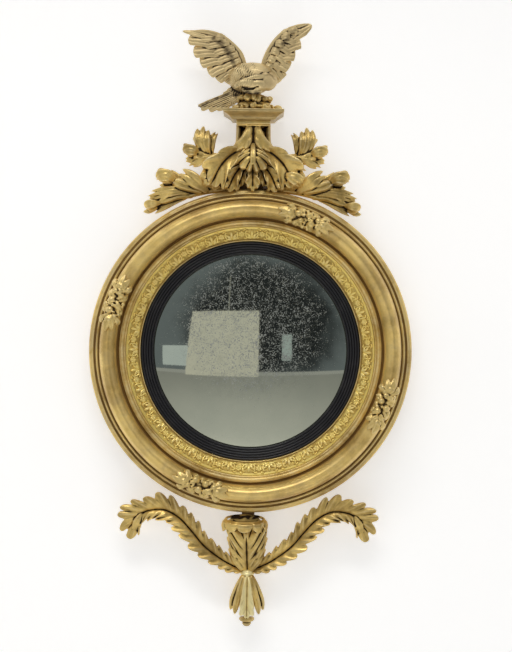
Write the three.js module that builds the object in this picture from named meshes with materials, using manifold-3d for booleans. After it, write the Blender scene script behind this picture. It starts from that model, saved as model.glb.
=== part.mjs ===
// Girandole mirror: a convex glass in a round giltwood frame, with an eagle crest and a leaf apron.
//
// Millimetres, +Z up. The origin is the centre of the frame on its back plane, y = 0 is that plane,
// and the front faces -Y. A point is written (x, z, h): h is its height in front of the back plane.

import * as THREE from 'three';
import { mergeVertices } from 'three/addons/utils/BufferGeometryUtils.js';
import Module from 'manifold-3d';

const wasm = await Module();
wasm.setup();

// ---------------------------------------------------------------- driving dimensions

const GAP = 0.3;                     // clearance between pieces that touch
const SEGMENTS = 32;                 // facets round the frame
const SLIVER = 0.1;                  // facets finer than this are merged after a cut
const CARVING = 0.3;                 // and on a carved form before it is cut
const SEAT = GAP + CARVING;          // how much larger a carved form is when it cuts another
const TORUS_STEPS = 6;               // facets over the torus
const BEYOND = 500;                  // past every piece, for a cut along a plane

// Glass and slip
const SIGHT_RADIUS = 183;            // visible glass
const GLASS_BULGE = 24;              // rise of the convex glass over its sight radius
const GLASS_EDGE_HEIGHT = 24.5;      // front of the glass at the sight edge
const GLASS_THICKNESS = 3;
const GLASS_COVER = 9.7;             // how far the glass runs in under the slip
const GLASS_PLAY = 0.8;              // room round the glass's edge
const SLIP_WIDTH = 24;               // visible black reeded slip
const SLIP_REEDS = 4;
const REED_RISE = 2;
const SLIP_EDGE = 1.5;               // slip's edge that stands on the glass
const SLIP_FRONT_HEIGHT = 35.5;      // slip where it meets the frame's lip

// Members of the frame's moulding, from the slip outwards
const LIP_WIDTH = 2;
const LIP_THICKNESS = 6;
const LIP_INSET = 3.5;               // back of the lip behind the front of the slip
const BAND_WIDTH = 24.5;             // foliate band
const BAND_SLOPE = 12;               // how far the band's bed rises outwards
const BAND_THICKNESS = 5;
const BAND_CROWN = 3;
const INNER_BEAD_RADIUS = 3.2;
const INNER_BEAD_DROP = 5;           // centre of the inner bead behind the torus's foot
const INNER_FILLET = 3.8;
const HOLLOW_WIDTH = 6.3;
const HOLLOW_DEPTH = 6;
const TORUS_WIDTH = 32;
const TORUS_RISE = 24;
const TORUS_FOOT_HEIGHT = 64;
const OUTER_FILLET = 5.8;
const OUTER_STEP = 3;                // rise of the fillet over the cove
const COVE_WIDTH = 9.2;
const COVE_HEIGHT = 13.5;
const COVE_FILLET = 2.5;
const OUTER_BEAD_RADIUS = 8;
const OUTER_BEAD_HEIGHT = 38;        // centre of the outer bead
const SIDE_INSET = 1.5;              // back edge inside the root of the outer bead
const SIDE_TAPER = 1;                // and the side's front edge

// Back of the frame
const REBATE_DEPTH = 10;             // for the backboard
const REBATE_WIDTH = 20;
const PLATE_REBATE = 9;              // cut behind the lip
const BLOCK_COUNT = 6;
const BLOCK_THICKNESS = 6.2;
const BLOCK_WIDTH = 34;
const MIDDLE_BOARD_HEIGHT = 150;

// Hanging hardware
const STRAP_WIDTH = 18;
const STRAP_LENGTH = 60;
const STRAP_THICKNESS = 1.5;
const STRAP_INSET = 4;               // strap inside the middle of the frame's back
const BARREL_RADIUS = 3.5;
const BARREL_BORE = 2.3;
const WIRE_RADIUS = 1.7;
const HANGER_WIDTH = 30;             // hanging ring, outside
const HANGER_DROP = 22;              // from its bar to the middle of its bow
const HANGER_BAR_Z = 92;             // height of the hinge bars above the centre
const SCREW_HEAD_RADIUS = 3.6;
const SCREW_HEAD_RISE = 1.3;
const SCREW_SHANK_RADIUS = 1.6;
const SCREW_LENGTH = 14;
const SCREW_FACETS = 6;
const SCREW_SINK = 0.2;              // countersunk heads below the back plane
const SCREW_RIM = 0.4;               // straight rim of a countersunk head
const BRACE_THICKNESS = 2.5;
const BRACE_WIDTH = 24;
const BRACE_LENGTH = 104;
const BRACE_SCREW_SPAN = 62;

// Crest, heights above the top of the frame
const CREST_BOARD_THICKNESS = 18;
const CREST_HALF_WIDTH = 72;
const CREST_BOARD_TOP = 76;
const PEDESTAL_TOP = 127;
const PEDESTAL_HALF_WIDTH = 31;
const PEDESTAL_DEPTH = 58;
const PLINTH_RISE = 19;
const PLINTH_HALF_WIDTH = 57;
const PLINTH_BACK = 4;
const PLINTH_FRONT = 84;
const ROCK_RISE = 30;
const WING_THICKNESS = 9;
const WING_RIDGE = 7;                // middle of the leading edge below its top
const FEATHER_THICKNESS = 6;
const ROD_RADIUS = 4;
const ROD_SINK = 42;                 // rod below the top of the plinth
const ROD_RISE = 72;                 // and above it

// Clusters on the torus
const CLUSTER_ANGLES = [68, 161, 250.5, 338.5];
const CLUSTER_LENGTH = 112;
const CLUSTER_PAD = 3.5;             // thickness of the ground between its leaves

// Apron, depths below the bottom of the frame
const TONGUE_WIDTH = 24;
const TONGUE_THICKNESS = 16;
const TONGUE_DROP = 112;
const PENDANT_DROP = 196;
const PENDANT_HEIGHT = 28;           // its axis before the back plane
const SPRAY_THICKNESS = 9;

// ---------------------------------------------------------------- derived sizes

const SLIP_RADIUS = SIGHT_RADIUS + SLIP_WIDTH;
const BAND_INNER = SLIP_RADIUS + LIP_WIDTH;
const BAND_OUTER = BAND_INNER + BAND_WIDTH;
const INNER_BEAD = BAND_OUTER + INNER_FILLET + INNER_BEAD_RADIUS;
const TORUS_INNER = INNER_BEAD + INNER_BEAD_RADIUS + HOLLOW_WIDTH;
const TORUS_MIDDLE = TORUS_INNER + TORUS_WIDTH / 2;
const TORUS_OUTER = TORUS_INNER + TORUS_WIDTH;
const COVE_TOP_RADIUS = TORUS_OUTER + OUTER_FILLET;
const COVE_FOOT_RADIUS = COVE_TOP_RADIUS + COVE_WIDTH;
const FRAME_RADIUS = COVE_FOOT_RADIUS + OUTER_BEAD_RADIUS;
const SIDE_RADIUS = COVE_FOOT_RADIUS - SIDE_INSET;
const PLATE_REBATE_RADIUS = SLIP_RADIUS + PLATE_REBATE;
const BOARD_REBATE_RADIUS = PLATE_REBATE_RADIUS + REBATE_WIDTH;
const GLASS_RADIUS = SIGHT_RADIUS + GLASS_COVER;
const GLASS_SPHERE = (SIGHT_RADIUS ** 2 + GLASS_BULGE ** 2) / (2 * GLASS_BULGE);
const LIP_BACK = SLIP_FRONT_HEIGHT - LIP_INSET;
const LIP_FRONT = LIP_BACK + LIP_THICKNESS;
const BLOCK_BACK = REBATE_DEPTH + GAP;
const SLIP_BACK = BLOCK_BACK + BLOCK_THICKNESS + GAP;
const FACET = Math.cos(Math.PI / SEGMENTS);   // inside radius of a faceted circle, as a share
const SEAT_RADIUS = COVE_FOOT_RADIUS - SIDE_TAPER + GAP;   // where the crest and the apron meet its side

// ---------------------------------------------------------------- materials

const gold = new THREE.MeshStandardMaterial({ color: 0xb9943f, roughness: 0.42, metalness: 0.75 });
const brightGold = new THREE.MeshStandardMaterial({ color: 0xcfa94a, roughness: 0.35, metalness: 0.8 });
const ebony = new THREE.MeshStandardMaterial({ color: 0x15141a, roughness: 0.35, metalness: 0 });
const silvered = new THREE.MeshStandardMaterial({ color: 0x8c9484, roughness: 0.06, metalness: 1 });
const pine = new THREE.MeshStandardMaterial({ color: 0x8a6a44, roughness: 0.8, metalness: 0 });
const iron = new THREE.MeshStandardMaterial({ color: 0x3c3a38, roughness: 0.55, metalness: 0.9 });
const brass = new THREE.MeshStandardMaterial({ color: 0x9c7d3a, roughness: 0.4, metalness: 0.95 });

// ---------------------------------------------------------------- shape helpers

const at = (x, z, h) => new THREE.Vector3(x, -h, z);
const FORWARD = at(0, 0, 1);
const lerp = THREE.MathUtils.lerp;
const radians = THREE.MathUtils.degToRad;

function spline(points) {
  return new THREE.CatmullRomCurve3(points, false, 'centripetal');
}

// Points on an arc or a part of an ellipse in a profile, from one angle to another.
function arc(r, h, radiusR, radiusH, from, to, steps) {
  const points = [];
  for (let i = 0; i <= steps; i++) {
    const angle = radians(lerp(from, to, i / steps));
    points.push([r + radiusR * Math.cos(angle), h + radiusH * Math.sin(angle)]);
  }
  return points;
}

// Turns a profile of [radius, height] pairs about the frame's axis.
function turned(profile, segments = SEGMENTS) {
  const points = profile.map(([r, h]) => new THREE.Vector2(r, h));
  return new THREE.LatheGeometry(points, segments).rotateZ(Math.PI);
}

function turnedRing(profile, segments) {
  return turned([...profile, profile[0]], segments);
}

// A flat outline of [x, z] pairs, sawn from a board that runs from height back to height front.
function sawn(outline, back, front) {
  const shape = new THREE.Shape(outline.map(([x, z]) => new THREE.Vector2(x, z)));
  const board = new THREE.ExtrudeGeometry(shape, { depth: front - back, bevelEnabled: false });
  return board.translate(0, 0, back).rotateX(Math.PI / 2);
}

// A closed skin over a row of sections, each a closed ring of the same number of points.
function loft(sections, { closed = false } = {}) {
  const count = sections[0].length;
  const points = sections.flat();
  const faces = [];
  const runs = closed ? sections.length : sections.length - 1;
  for (let i = 0; i < runs; i++) {
    const here = i * count;
    const next = ((i + 1) % sections.length) * count;
    for (let j = 0; j < count; j++) {
      const k = (j + 1) % count;
      faces.push(here + j, here + k, next + k, here + j, next + k, next + j);
    }
  }
  if (!closed) {
    addCap(points, faces, sections[0], 0, true);
    addCap(points, faces, sections.at(-1), (sections.length - 1) * count, false);
  }
  const geometry = new THREE.BufferGeometry().setFromPoints(points);
  geometry.setIndex(faces);
  if (signedVolume(geometry) < 0) {
    turnInsideOut(geometry);
  }
  return geometry;
}

// Closes an end of the skin with a fan about the middle of its section.
function addCap(points, faces, section, offset, reversed) {
  const middle = section.reduce((sum, p) => sum.add(p), new THREE.Vector3());
  points.push(middle.divideScalar(section.length));
  const apex = points.length - 1;
  for (let j = 0; j < section.length; j++) {
    const k = (j + 1) % section.length;
    const edge = reversed ? [offset + k, offset + j] : [offset + j, offset + k];
    faces.push(...edge, apex);
  }
}

function signedVolume(geometry) {
  const position = geometry.getAttribute('position');
  const corner = (i) => new THREE.Vector3().fromBufferAttribute(position, geometry.index.getX(i));
  let sum = 0;
  for (let i = 0; i < geometry.index.count; i += 3) {
    sum += corner(i).dot(corner(i + 1).cross(corner(i + 2)));
  }
  return sum / 6;
}

function turnInsideOut(geometry) {
  const index = geometry.index;
  for (let i = 0; i < index.count; i += 3) {
    const second = index.getX(i + 1);
    index.setX(i + 1, index.getX(i + 2));
    index.setX(i + 2, second);
  }
}

// ---------------------------------------------------------------- joining and cutting

function solid(geometry) {
  const bare = geometry.clone();
  for (const name of Object.keys(bare.attributes)) {
    if (name !== 'position') {
      bare.deleteAttribute(name);
    }
  }
  const merged = mergeVertices(bare, 1e-4);
  const kept = [];
  const index = merged.index.array;
  for (let i = 0; i < index.length; i += 3) {
    const [a, b, c] = [index[i], index[i + 1], index[i + 2]];
    if (a !== b && b !== c && c !== a) {
      kept.push(a, b, c);
    }
  }
  const mesh = new wasm.Mesh({
    numProp: 3,
    vertProperties: new Float32Array(merged.getAttribute('position').array),
    triVerts: new Uint32Array(kept),
  });
  return new wasm.Manifold(mesh);
}

function joined(solids) {
  return solids.reduce((sum, item) => sum.add(item)).simplify(CARVING);
}

function cut(body, cutters) {
  return cutters.reduce((left, cutter) => left.subtract(cutter), body);
}

// The geometry of a solid's main body, without chips and slivers that a cut has left.
function geometryOf(body) {
  const main = body.decompose().reduce((a, b) => (a.volume() > b.volume() ? a : b));
  const mesh = main.simplify(SLIVER).getMesh();
  const geometry = new THREE.BufferGeometry();
  geometry.setAttribute('position', new THREE.BufferAttribute(mesh.vertProperties.slice(), 3));
  geometry.setIndex(new THREE.BufferAttribute(mesh.triVerts.slice(), 1));
  geometry.computeVertexNormals();
  return geometry;
}

// ---------------------------------------------------------------- carved forms

// How far a grown form's end section moves outwards along the form.
function endShift(i, last, grow) {
  return i === 0 ? -grow : i === last ? grow : 0;
}

// A carved lobe: ridged sections along a curve, one at each of its points unless stations are given.
// Half widths are read along the curve from a list. Grow makes the same form larger all round.
function lobe(path, halfWidths, { thickness = 10, sides = 4, stations = path.length - 1, grow = 0 } = {}) {
  const curve = spline(path);
  const sections = [];
  for (let i = 0; i <= stations; i++) {
    const u = i / stations;
    const along = curve.getTangent(u);
    const middle = curve.getPoint(u).addScaledVector(along, endShift(i, stations, grow));
    const side = along.clone().cross(FORWARD).normalize();
    const front = side.clone().cross(along).normalize();
    const room = grow / Math.cos(Math.PI / sides);
    const half = sample(halfWidths, u) + room;
    const depth = Math.min(half, thickness / 2 + room);
    const section = [];
    for (let j = 0; j < sides; j++) {
      const angle = Math.PI / 2 + (2 * Math.PI * j) / sides;
      section.push(middle.clone()
        .addScaledVector(side, Math.cos(angle) * half)
        .addScaledVector(front, Math.sin(angle) * depth));
    }
    sections.push(section);
  }
  return solid(loft(sections));
}

function sample(values, u) {
  const place = u * (values.length - 1);
  const low = Math.min(Math.floor(place), values.length - 2);
  return lerp(values[low], values[low + 1], place - low);
}

function ball(centre, radii, { grow = 0 } = {}) {
  const [rx, rz, rh] = radii.map((r) => r + grow);
  const shape = new THREE.SphereGeometry(1, 6, 4);
  return solid(shape.scale(rx, rh, rz).translate(centre.x, centre.y, centre.z));
}

// A scalloped leaf along a midrib. Each edge has its own half width and is cut into lobes that
// sweep towards the tip; the face is crowned between a sunk midrib and the edges. The grown form
// has no notches.
function leaf(path, { left, right, lobes, notch = 0.3, sweep = 10, crown = 6, thickness = 8, grow = 0 }) {
  const curve = spline(path);
  const stations = lobes * 2;
  const across = [-1, -0.5, 0, 0.5, 1];
  const sections = [];
  for (let i = 0; i <= stations; i++) {
    const u = i / stations;
    const along = curve.getTangent(u);
    const middle = curve.getPoint(u).addScaledVector(along, endShift(i, stations, grow));
    const side = along.clone().cross(FORWARD).normalize();
    const front = side.clone().cross(along).normalize();
    const scallop = i % 2 === 0 && grow === 0 ? 1 - notch : 1;
    const face = across.map((v) => {
      const half = (v < 0 ? sample(left, u) : sample(right, u)) * scallop + grow;
      const lift = crown * (1 - v * v) * (v === 0 ? 0.55 : 1) + grow;
      return middle.clone()
        .addScaledVector(side, v * half)
        .addScaledVector(along, sweep * v * v * (1 - u))
        .addScaledVector(front, lift);
    });
    const back = [face.at(-1), face[2], face[0]].map((p, k) => {
      const drop = thickness + 2 * grow + (k === 1 ? crown * 0.2 : 0);
      return p.clone().addScaledVector(front, -drop);
    });
    sections.push([...face, ...back]);
  }
  return solid(loft(sections));
}

function box(x0, x1, z0, z1, h0, h1) {
  const shape = new THREE.BoxGeometry(x1 - x0, h1 - h0, z1 - z0);
  return shape.translate((x0 + x1) / 2, -(h0 + h1) / 2, (z0 + z1) / 2);
}

// ---------------------------------------------------------------- scene graph

const mirror = new THREE.Group();
const crest = new THREE.Group();
crest.position.z = FRAME_RADIUS;
const apron = new THREE.Group();
apron.position.z = -FRAME_RADIUS;
mirror.add(crest, apron);

function add(group, name, geometry, material) {
  const mesh = new THREE.Mesh(geometry, material);
  mesh.name = name;
  group.add(mesh);
  return mesh;
}

// ---------------------------------------------------------------- frame, slip and glass

function frameProfile() {
  const beadRoot = COVE_FOOT_RADIUS;
  const coveFoot = OUTER_BEAD_HEIGHT + OUTER_BEAD_RADIUS + COVE_FILLET;
  const coveTop = coveFoot + COVE_HEIGHT;
  const innerBeadHeight = TORUS_FOOT_HEIGHT - INNER_BEAD_DROP;
  const bandTop = LIP_FRONT + BAND_SLOPE;
  return [
    [SIDE_RADIUS, 0],
    [beadRoot - SIDE_TAPER, OUTER_BEAD_HEIGHT - OUTER_BEAD_RADIUS],
    ...arc(beadRoot, OUTER_BEAD_HEIGHT, OUTER_BEAD_RADIUS, OUTER_BEAD_RADIUS, -90, 90, 3),
    [beadRoot - 2, coveFoot],
    ...arc(beadRoot, coveTop, COVE_WIDTH, COVE_HEIGHT, -90, -180, 2),
    [COVE_TOP_RADIUS, coveTop + OUTER_STEP],
    [TORUS_OUTER + 2, coveTop + OUTER_STEP],
    ...arc(TORUS_MIDDLE, TORUS_FOOT_HEIGHT, TORUS_WIDTH / 2, TORUS_RISE, 0, 180, TORUS_STEPS),
    ...arc(INNER_BEAD + INNER_BEAD_RADIUS, TORUS_FOOT_HEIGHT, HOLLOW_WIDTH, HOLLOW_DEPTH, -45, -90, 1),
    ...arc(INNER_BEAD, innerBeadHeight, INNER_BEAD_RADIUS, INNER_BEAD_RADIUS, 20, 160, 2),
    [BAND_OUTER + INNER_FILLET, innerBeadHeight - 2],
    [BAND_OUTER, innerBeadHeight - 2],
    [BAND_OUTER, bandTop],
    [BAND_INNER, LIP_FRONT],
    [SLIP_RADIUS, LIP_FRONT],
    [SLIP_RADIUS, LIP_BACK],
    [PLATE_REBATE_RADIUS, LIP_BACK],
    [PLATE_REBATE_RADIUS, REBATE_DEPTH],
    [BOARD_REBATE_RADIUS, REBATE_DEPTH],
    [BOARD_REBATE_RADIUS, 0],
  ];
}

// The foliate band lies on its sloping bed between the lip and the inner bead's drop.
function bandProfile() {
  const inner = BAND_INNER + GAP;
  const outer = BAND_OUTER - GAP;
  const bed = (r) => LIP_FRONT + (BAND_SLOPE * (r - BAND_INNER)) / BAND_WIDTH + GAP;
  const steps = 2;
  const profile = [[inner, bed(inner)], [outer, bed(outer)]];
  for (let i = 0; i <= steps; i++) {
    const u = i / steps;
    const r = lerp(outer, inner, u);
    const crown = i === 0 || i === steps ? 0 : BAND_CROWN;
    profile.push([r, bed(r) + BAND_THICKNESS - GAP + crown]);
  }
  return profile;
}

const glassFront = (r) => GLASS_EDGE_HEIGHT + Math.sqrt(GLASS_SPHERE ** 2 - r ** 2)
  - Math.sqrt(GLASS_SPHERE ** 2 - SIGHT_RADIUS ** 2);

// The slip slopes in to the glass over a row of reeds, and its flange lies behind the frame's lip.
function slipProfile() {
  const outer = SLIP_RADIUS - GAP;
  const flange = PLATE_REBATE_RADIUS - GAP;
  const cover = GLASS_RADIUS + GLASS_PLAY;
  const sightHeight = glassFront(SIGHT_RADIUS) + GAP;
  const face = (u) => [lerp(outer, SIGHT_RADIUS, u), lerp(SLIP_FRONT_HEIGHT, sightHeight + SLIP_EDGE, u)];
  const reeds = [];
  for (let i = 0; i < SLIP_REEDS; i++) {
    reeds.push(face(i / SLIP_REEDS));
    const [r, h] = face((i + 0.5) / SLIP_REEDS);
    reeds.push([r, h + REED_RISE]);
  }
  return [
    [flange, SLIP_BACK],
    [flange, LIP_BACK - GAP],
    [outer, LIP_BACK - GAP],
    ...reeds,
    face(1),
    [SIGHT_RADIUS, sightHeight],
    [cover, glassFront(GLASS_RADIUS) + GAP * 2],
    [cover, SLIP_BACK],
  ];
}

function glassProfile() {
  const back = [];
  const front = [];
  for (const r of [0, 0.6 * SIGHT_RADIUS, SIGHT_RADIUS, GLASS_RADIUS]) {
    back.push([r, glassFront(r) - GLASS_THICKNESS]);
    front.unshift([r, glassFront(r)]);
  }
  return [...back, ...front];
}

// A soft packing ring between the glass's edge and the glue blocks.
function packingProfile() {
  const inner = SIGHT_RADIUS + 1;
  const outer = GLASS_RADIUS - GAP;
  const under = (r) => glassFront(r) - GLASS_THICKNESS - GAP;
  return [[inner, SLIP_BACK], [outer, SLIP_BACK], [outer, under(outer)], [inner, under(inner)]];
}

add(mirror, 'ornament_band', turnedRing(bandProfile()), brightGold);
add(mirror, 'ebonised_slip', turnedRing(slipProfile()), ebony);
add(mirror, 'mirror_plate', turned(glassProfile()), silvered);
add(mirror, 'packing_ring', turnedRing(packingProfile()), pine);

// Glue blocks that hold the slip and the glass forward.
const blockInner = SIGHT_RADIUS + 3;
const blockOuter = PLATE_REBATE_RADIUS * FACET - GAP - 1;
for (let i = 0; i < BLOCK_COUNT; i++) {
  const half = BLOCK_WIDTH / 2;
  const outline = [[blockInner, -half], [blockOuter, -half], [blockOuter, half], [blockInner, half]];
  const block = sawn(outline, BLOCK_BACK, BLOCK_BACK + BLOCK_THICKNESS);
  block.rotateY((2 * Math.PI * (i + 0.5)) / BLOCK_COUNT);
  add(mirror, `glass_block_${i + 1}`, block, pine);
}

// ---------------------------------------------------------------- backboard in three planks

const boardRadius = BOARD_REBATE_RADIUS * FACET - GAP;

// The stretch of the round board between two heights.
function plank(low, high) {
  const angleAt = (z) => Math.asin(THREE.MathUtils.clamp(z / boardRadius, -1, 1));
  const steps = 7;
  const right = [];
  const left = [];
  for (let i = 0; i <= steps; i++) {
    const angle = lerp(angleAt(low), angleAt(high), i / steps);
    const [x, z] = [boardRadius * Math.cos(angle), boardRadius * Math.sin(angle)];
    right.push([x, z]);
    if (x > 1e-3) {
      left.unshift([-x, z]);
    }
  }
  return sawn([...right, ...left], 0, REBATE_DEPTH - GAP);
}

const boardHalf = MIDDLE_BOARD_HEIGHT / 2;
const screwInset = (PLATE_REBATE_RADIUS + boardRadius) / 2;
const planks = [
  ['lower', -boardRadius, -boardHalf - GAP / 2, [-125, -55]],
  ['middle', -boardHalf + GAP / 2, boardHalf - GAP / 2, [180, 0]],
  ['upper', boardHalf + GAP / 2, boardRadius, [125, 55]],
];

// A screw with a raised head, which stands out at the back.
function woodScrew(x, z, headBack) {
  const underHead = headBack + SCREW_HEAD_RISE;
  const profile = [
    [0, headBack],
    [SCREW_HEAD_RADIUS * 0.7, headBack],
    [SCREW_HEAD_RADIUS, underHead],
    [SCREW_SHANK_RADIUS, underHead],
    [0, underHead + SCREW_LENGTH],
  ];
  return turned(profile, SCREW_FACETS).translate(x, 0, z);
}

// A countersunk screw whose head lies just inside the back plane, and its hole, larger all round.
function sunkScrew(x, z) {
  const rim = SCREW_SINK + SCREW_RIM;
  const profile = [
    [0, SCREW_SINK],
    [SCREW_HEAD_RADIUS, SCREW_SINK],
    [SCREW_HEAD_RADIUS, rim],
    [SCREW_SHANK_RADIUS, rim + SCREW_HEAD_RADIUS - SCREW_SHANK_RADIUS],
    [0, SCREW_SINK + SCREW_LENGTH],
  ];
  return turned(profile, SCREW_FACETS).translate(x, 0, z);
}

function sunkHole(x, z, front) {
  const rim = SCREW_SINK + SCREW_RIM;
  const [head, shank] = [SCREW_HEAD_RADIUS + GAP, SCREW_SHANK_RADIUS + GAP];
  const cone = rim + head - shank + GAP;
  const profile = [[0, -1], [head, -1], [head, rim], [shank, cone], [shank, front], [0, front]];
  return solid(turned(profile, SCREW_FACETS).translate(x, 0, z));
}

// The clearance hole for such a screw.
function screwHole(x, z, back, front) {
  const radius = SCREW_SHANK_RADIUS + GAP;
  const profile = [[0, back], [radius, back], [radius, front], [0, front]];
  return solid(turned(profile, SCREW_FACETS).translate(x, 0, z));
}

const SCREW_DEPTH = SCREW_LENGTH + 1;
const frameHoles = [];
let boardScrew = 0;
for (const [place, low, high, angles] of planks) {
  const holes = angles.map((degrees) => {
    const angle = radians(degrees);
    const [x, z] = [screwInset * Math.cos(angle), screwInset * Math.sin(angle)];
    boardScrew += 1;
    add(mirror, `backboard_screw_${boardScrew}`, sunkScrew(x, z), brass);
    frameHoles.push(screwHole(x, z, -1, SCREW_DEPTH));
    return sunkHole(x, z, REBATE_DEPTH + 1);
  });
  add(mirror, `backboard_${place}`, geometryOf(cut(solid(plank(low, high)), holes)), pine);
}

// ---------------------------------------------------------------- hanging hardware and braces

const hangerX = (BOARD_REBATE_RADIUS + SIDE_RADIUS) / 2 - STRAP_INSET;
const hangerBarHeight = -(GAP + BARREL_RADIUS);
const onStrap = -(GAP + STRAP_THICKNESS + GAP + SCREW_HEAD_RISE);

// A strip folded round the hinge bar, seen from its end: (distance behind the frame, height).
function strapSection() {
  const outer = GAP + STRAP_THICKNESS;
  const middle = GAP + BARREL_RADIUS;
  const meet = Math.acos((middle - outer) / BARREL_RADIUS);
  const shape = new THREE.Shape();
  shape.moveTo(GAP, -STRAP_LENGTH);
  shape.lineTo(outer, -STRAP_LENGTH);
  const from = THREE.MathUtils.radToDeg(meet) - 180;
  const fold = arc(middle, 0, BARREL_RADIUS, BARREL_RADIUS, from, 180, 10);
  for (const [distance, height] of fold) {
    shape.lineTo(distance, height);
  }
  const bore = arc(middle, 0, BARREL_BORE, BARREL_BORE, 0, -315, 7);
  shape.holes.push(new THREE.Path(bore.map(([distance, height]) => new THREE.Vector2(distance, height))));
  return shape;
}

function hangerStrap(x, screwHeights) {
  const strap = new THREE.ExtrudeGeometry(strapSection(), { depth: STRAP_WIDTH, bevelEnabled: false });
  const turn = new THREE.Matrix4().makeBasis(
    new THREE.Vector3(0, 1, 0), new THREE.Vector3(0, 0, 1), new THREE.Vector3(1, 0, 0));
  strap.applyMatrix4(turn).translate(x - STRAP_WIDTH / 2, 0, HANGER_BAR_Z);
  const holes = screwHeights.map((z) => screwHole(x, z, -BARREL_RADIUS, 1));
  return geometryOf(cut(solid(strap), holes));
}

// A D of round wire: a straight bar in the fold, and a bow that hangs from its ends.
function hangingRing() {
  const half = HANGER_WIDTH / 2 - WIRE_RADIUS;
  const corner = 3;
  const bow = HANGER_DROP - half;
  const path = [
    [-half + corner, 0],
    [0, 0],
    [half - corner, 0],
    ...arc(half - corner, -corner, corner, corner, 60, 10, 1),
    ...arc(0, -bow, half, half, 0, -180, 6),
    ...arc(-half + corner, -corner, corner, corner, 170, 120, 1),
  ];
  const sections = path.map(([x, z], i) => {
    const before = path.at(i - 1);
    const after = path[(i + 1) % path.length];
    const along = new THREE.Vector3(after[0] - before[0], 0, after[1] - before[1]).normalize();
    const side = along.clone().cross(FORWARD);
    return Array.from({ length: 6 }, (_, j) => {
      const angle = (Math.PI * j) / 3;
      return new THREE.Vector3(x, 0, z)
        .addScaledVector(side, WIRE_RADIUS * Math.cos(angle))
        .addScaledVector(FORWARD, WIRE_RADIUS * Math.sin(angle));
    });
  });
  return loft(sections, { closed: true });
}

let strapScrew = 0;
for (const [hand, sign] of [['left', -1], ['right', 1]]) {
  const screwHeights = [HANGER_BAR_Z - STRAP_LENGTH / 2, HANGER_BAR_Z - STRAP_LENGTH + 10];
  add(mirror, `hanger_strap_${hand}`, hangerStrap(sign * hangerX, screwHeights), brass);
  const ring = add(mirror, `hanging_ring_${hand}`, hangingRing(), brass);
  ring.position.copy(at(sign * hangerX, HANGER_BAR_Z, hangerBarHeight));
  for (const z of screwHeights) {
    strapScrew += 1;
    add(mirror, `hanger_screw_${strapScrew}`, woodScrew(sign * hangerX, z, onStrap), brass);
    frameHoles.push(screwHole(sign * hangerX, z, -1, SCREW_DEPTH));
  }
}

// An iron strap from the frame's back to the back of the crest or the apron.
const onBrace = -(GAP + BRACE_THICKNESS + GAP + SCREW_HEAD_RISE);
const braceHoles = { crest: [], apron: [] };
for (const [owner, sign] of [['crest', 1], ['apron', -1]]) {
  const half = BRACE_LENGTH / 2;
  const middle = sign * SEAT_RADIUS;
  const side = BRACE_WIDTH / 2;
  const brace = box(-side, side, middle - half, middle + half, -GAP - BRACE_THICKNESS, -GAP);
  const screws = [middle - (sign * BRACE_SCREW_SPAN) / 2, middle + (sign * BRACE_SCREW_SPAN) / 2];
  const holes = screws.map((z) => screwHole(0, z, -2 * BRACE_THICKNESS, 1));
  add(mirror, `${owner}_brace`, geometryOf(cut(solid(brace), holes)), iron);
  screws.forEach((z, i) => {
    add(mirror, `${owner}_brace_screw_${i + 1}`, woodScrew(0, z, onBrace), iron);
    const hole = screwHole(0, z, -1, SCREW_DEPTH);
    if (i === 0) {
      frameHoles.push(hole);
    } else {
      braceHoles[owner].push(hole.translate([0, 0, -sign * FRAME_RADIUS]));
    }
  });
}

// ---------------------------------------------------------------- fruit clusters on the torus

// Where a faceted circle runs at an angle, as a share of the radius of its corners.
function facetShare(angle) {
  const step = (2 * Math.PI) / SEGMENTS;
  return FACET / Math.cos(THREE.MathUtils.euclideanModulo(angle, step) - step / 2);
}

// A point over the torus: along the rim from an angle, across it from its crown, and lifted off it.
function onTorus(degrees, along, across, lift) {
  const turn = radians(degrees) + along / TORUS_MIDDLE;
  const roll = across / ((TORUS_WIDTH / 2 + TORUS_RISE) / 2);
  const half = TORUS_WIDTH / 2;
  const normal = new THREE.Vector2(Math.sin(roll) / half, Math.cos(roll) / TORUS_RISE).normalize();
  const r = (TORUS_MIDDLE + half * Math.sin(roll) + lift * normal.x) * facetShare(turn);
  const h = TORUS_FOOT_HEIGHT + TORUS_RISE * Math.cos(roll) + lift * normal.y;
  return at(r * Math.cos(turn), r * Math.sin(turn), h);
}

// Fruits in the middle and leaves towards both ends, in relief on a pad that wraps the torus:
// [along the rim, across it, radius, rise] in millimetres.
const CLUSTER_RELIEF = [
  [-16, -6, 9, 11], [-4, 7, 10, 12], [6, -7, 10, 12], [18, 5, 9, 11], [28, -5, 8, 9],
  [-30, 6, 12, 8], [-42, -3, 13, 7], [40, 4, 13, 7], [-24, -9, 9, 7], [36, -9, 8, 6],
];

function clusterRise(along, across) {
  return CLUSTER_RELIEF.reduce((rise, [a, b, radius, height]) => {
    const distance = Math.hypot(along - a, across - b) / radius;
    return distance < 1 ? Math.max(rise, height * Math.sqrt(1 - distance ** 2)) : rise;
  }, 0);
}

function fruitCluster(degrees) {
  const stations = 10;
  const columns = 6;
  const seat = 3 * GAP;
  const sections = [];
  for (let i = 0; i <= stations; i++) {
    const u = (2 * i) / stations - 1;
    const along = (u * CLUSTER_LENGTH) / 2;
    const half = TORUS_WIDTH * 0.64 * Math.sqrt(1.08 - u * u) * (i % 2 === 0 ? 0.88 : 1);
    const across = Array.from({ length: columns }, (_, j) => lerp(-half, half, j / (columns - 1)));
    const face = across.map((v) => onTorus(degrees, along, v, GAP + CLUSTER_PAD + clusterRise(along, v)));
    const back = across.map((v) => onTorus(degrees, along, v, GAP + seat)).reverse();
    sections.push([...face, ...back]);
  }
  return loft(sections);
}

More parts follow.
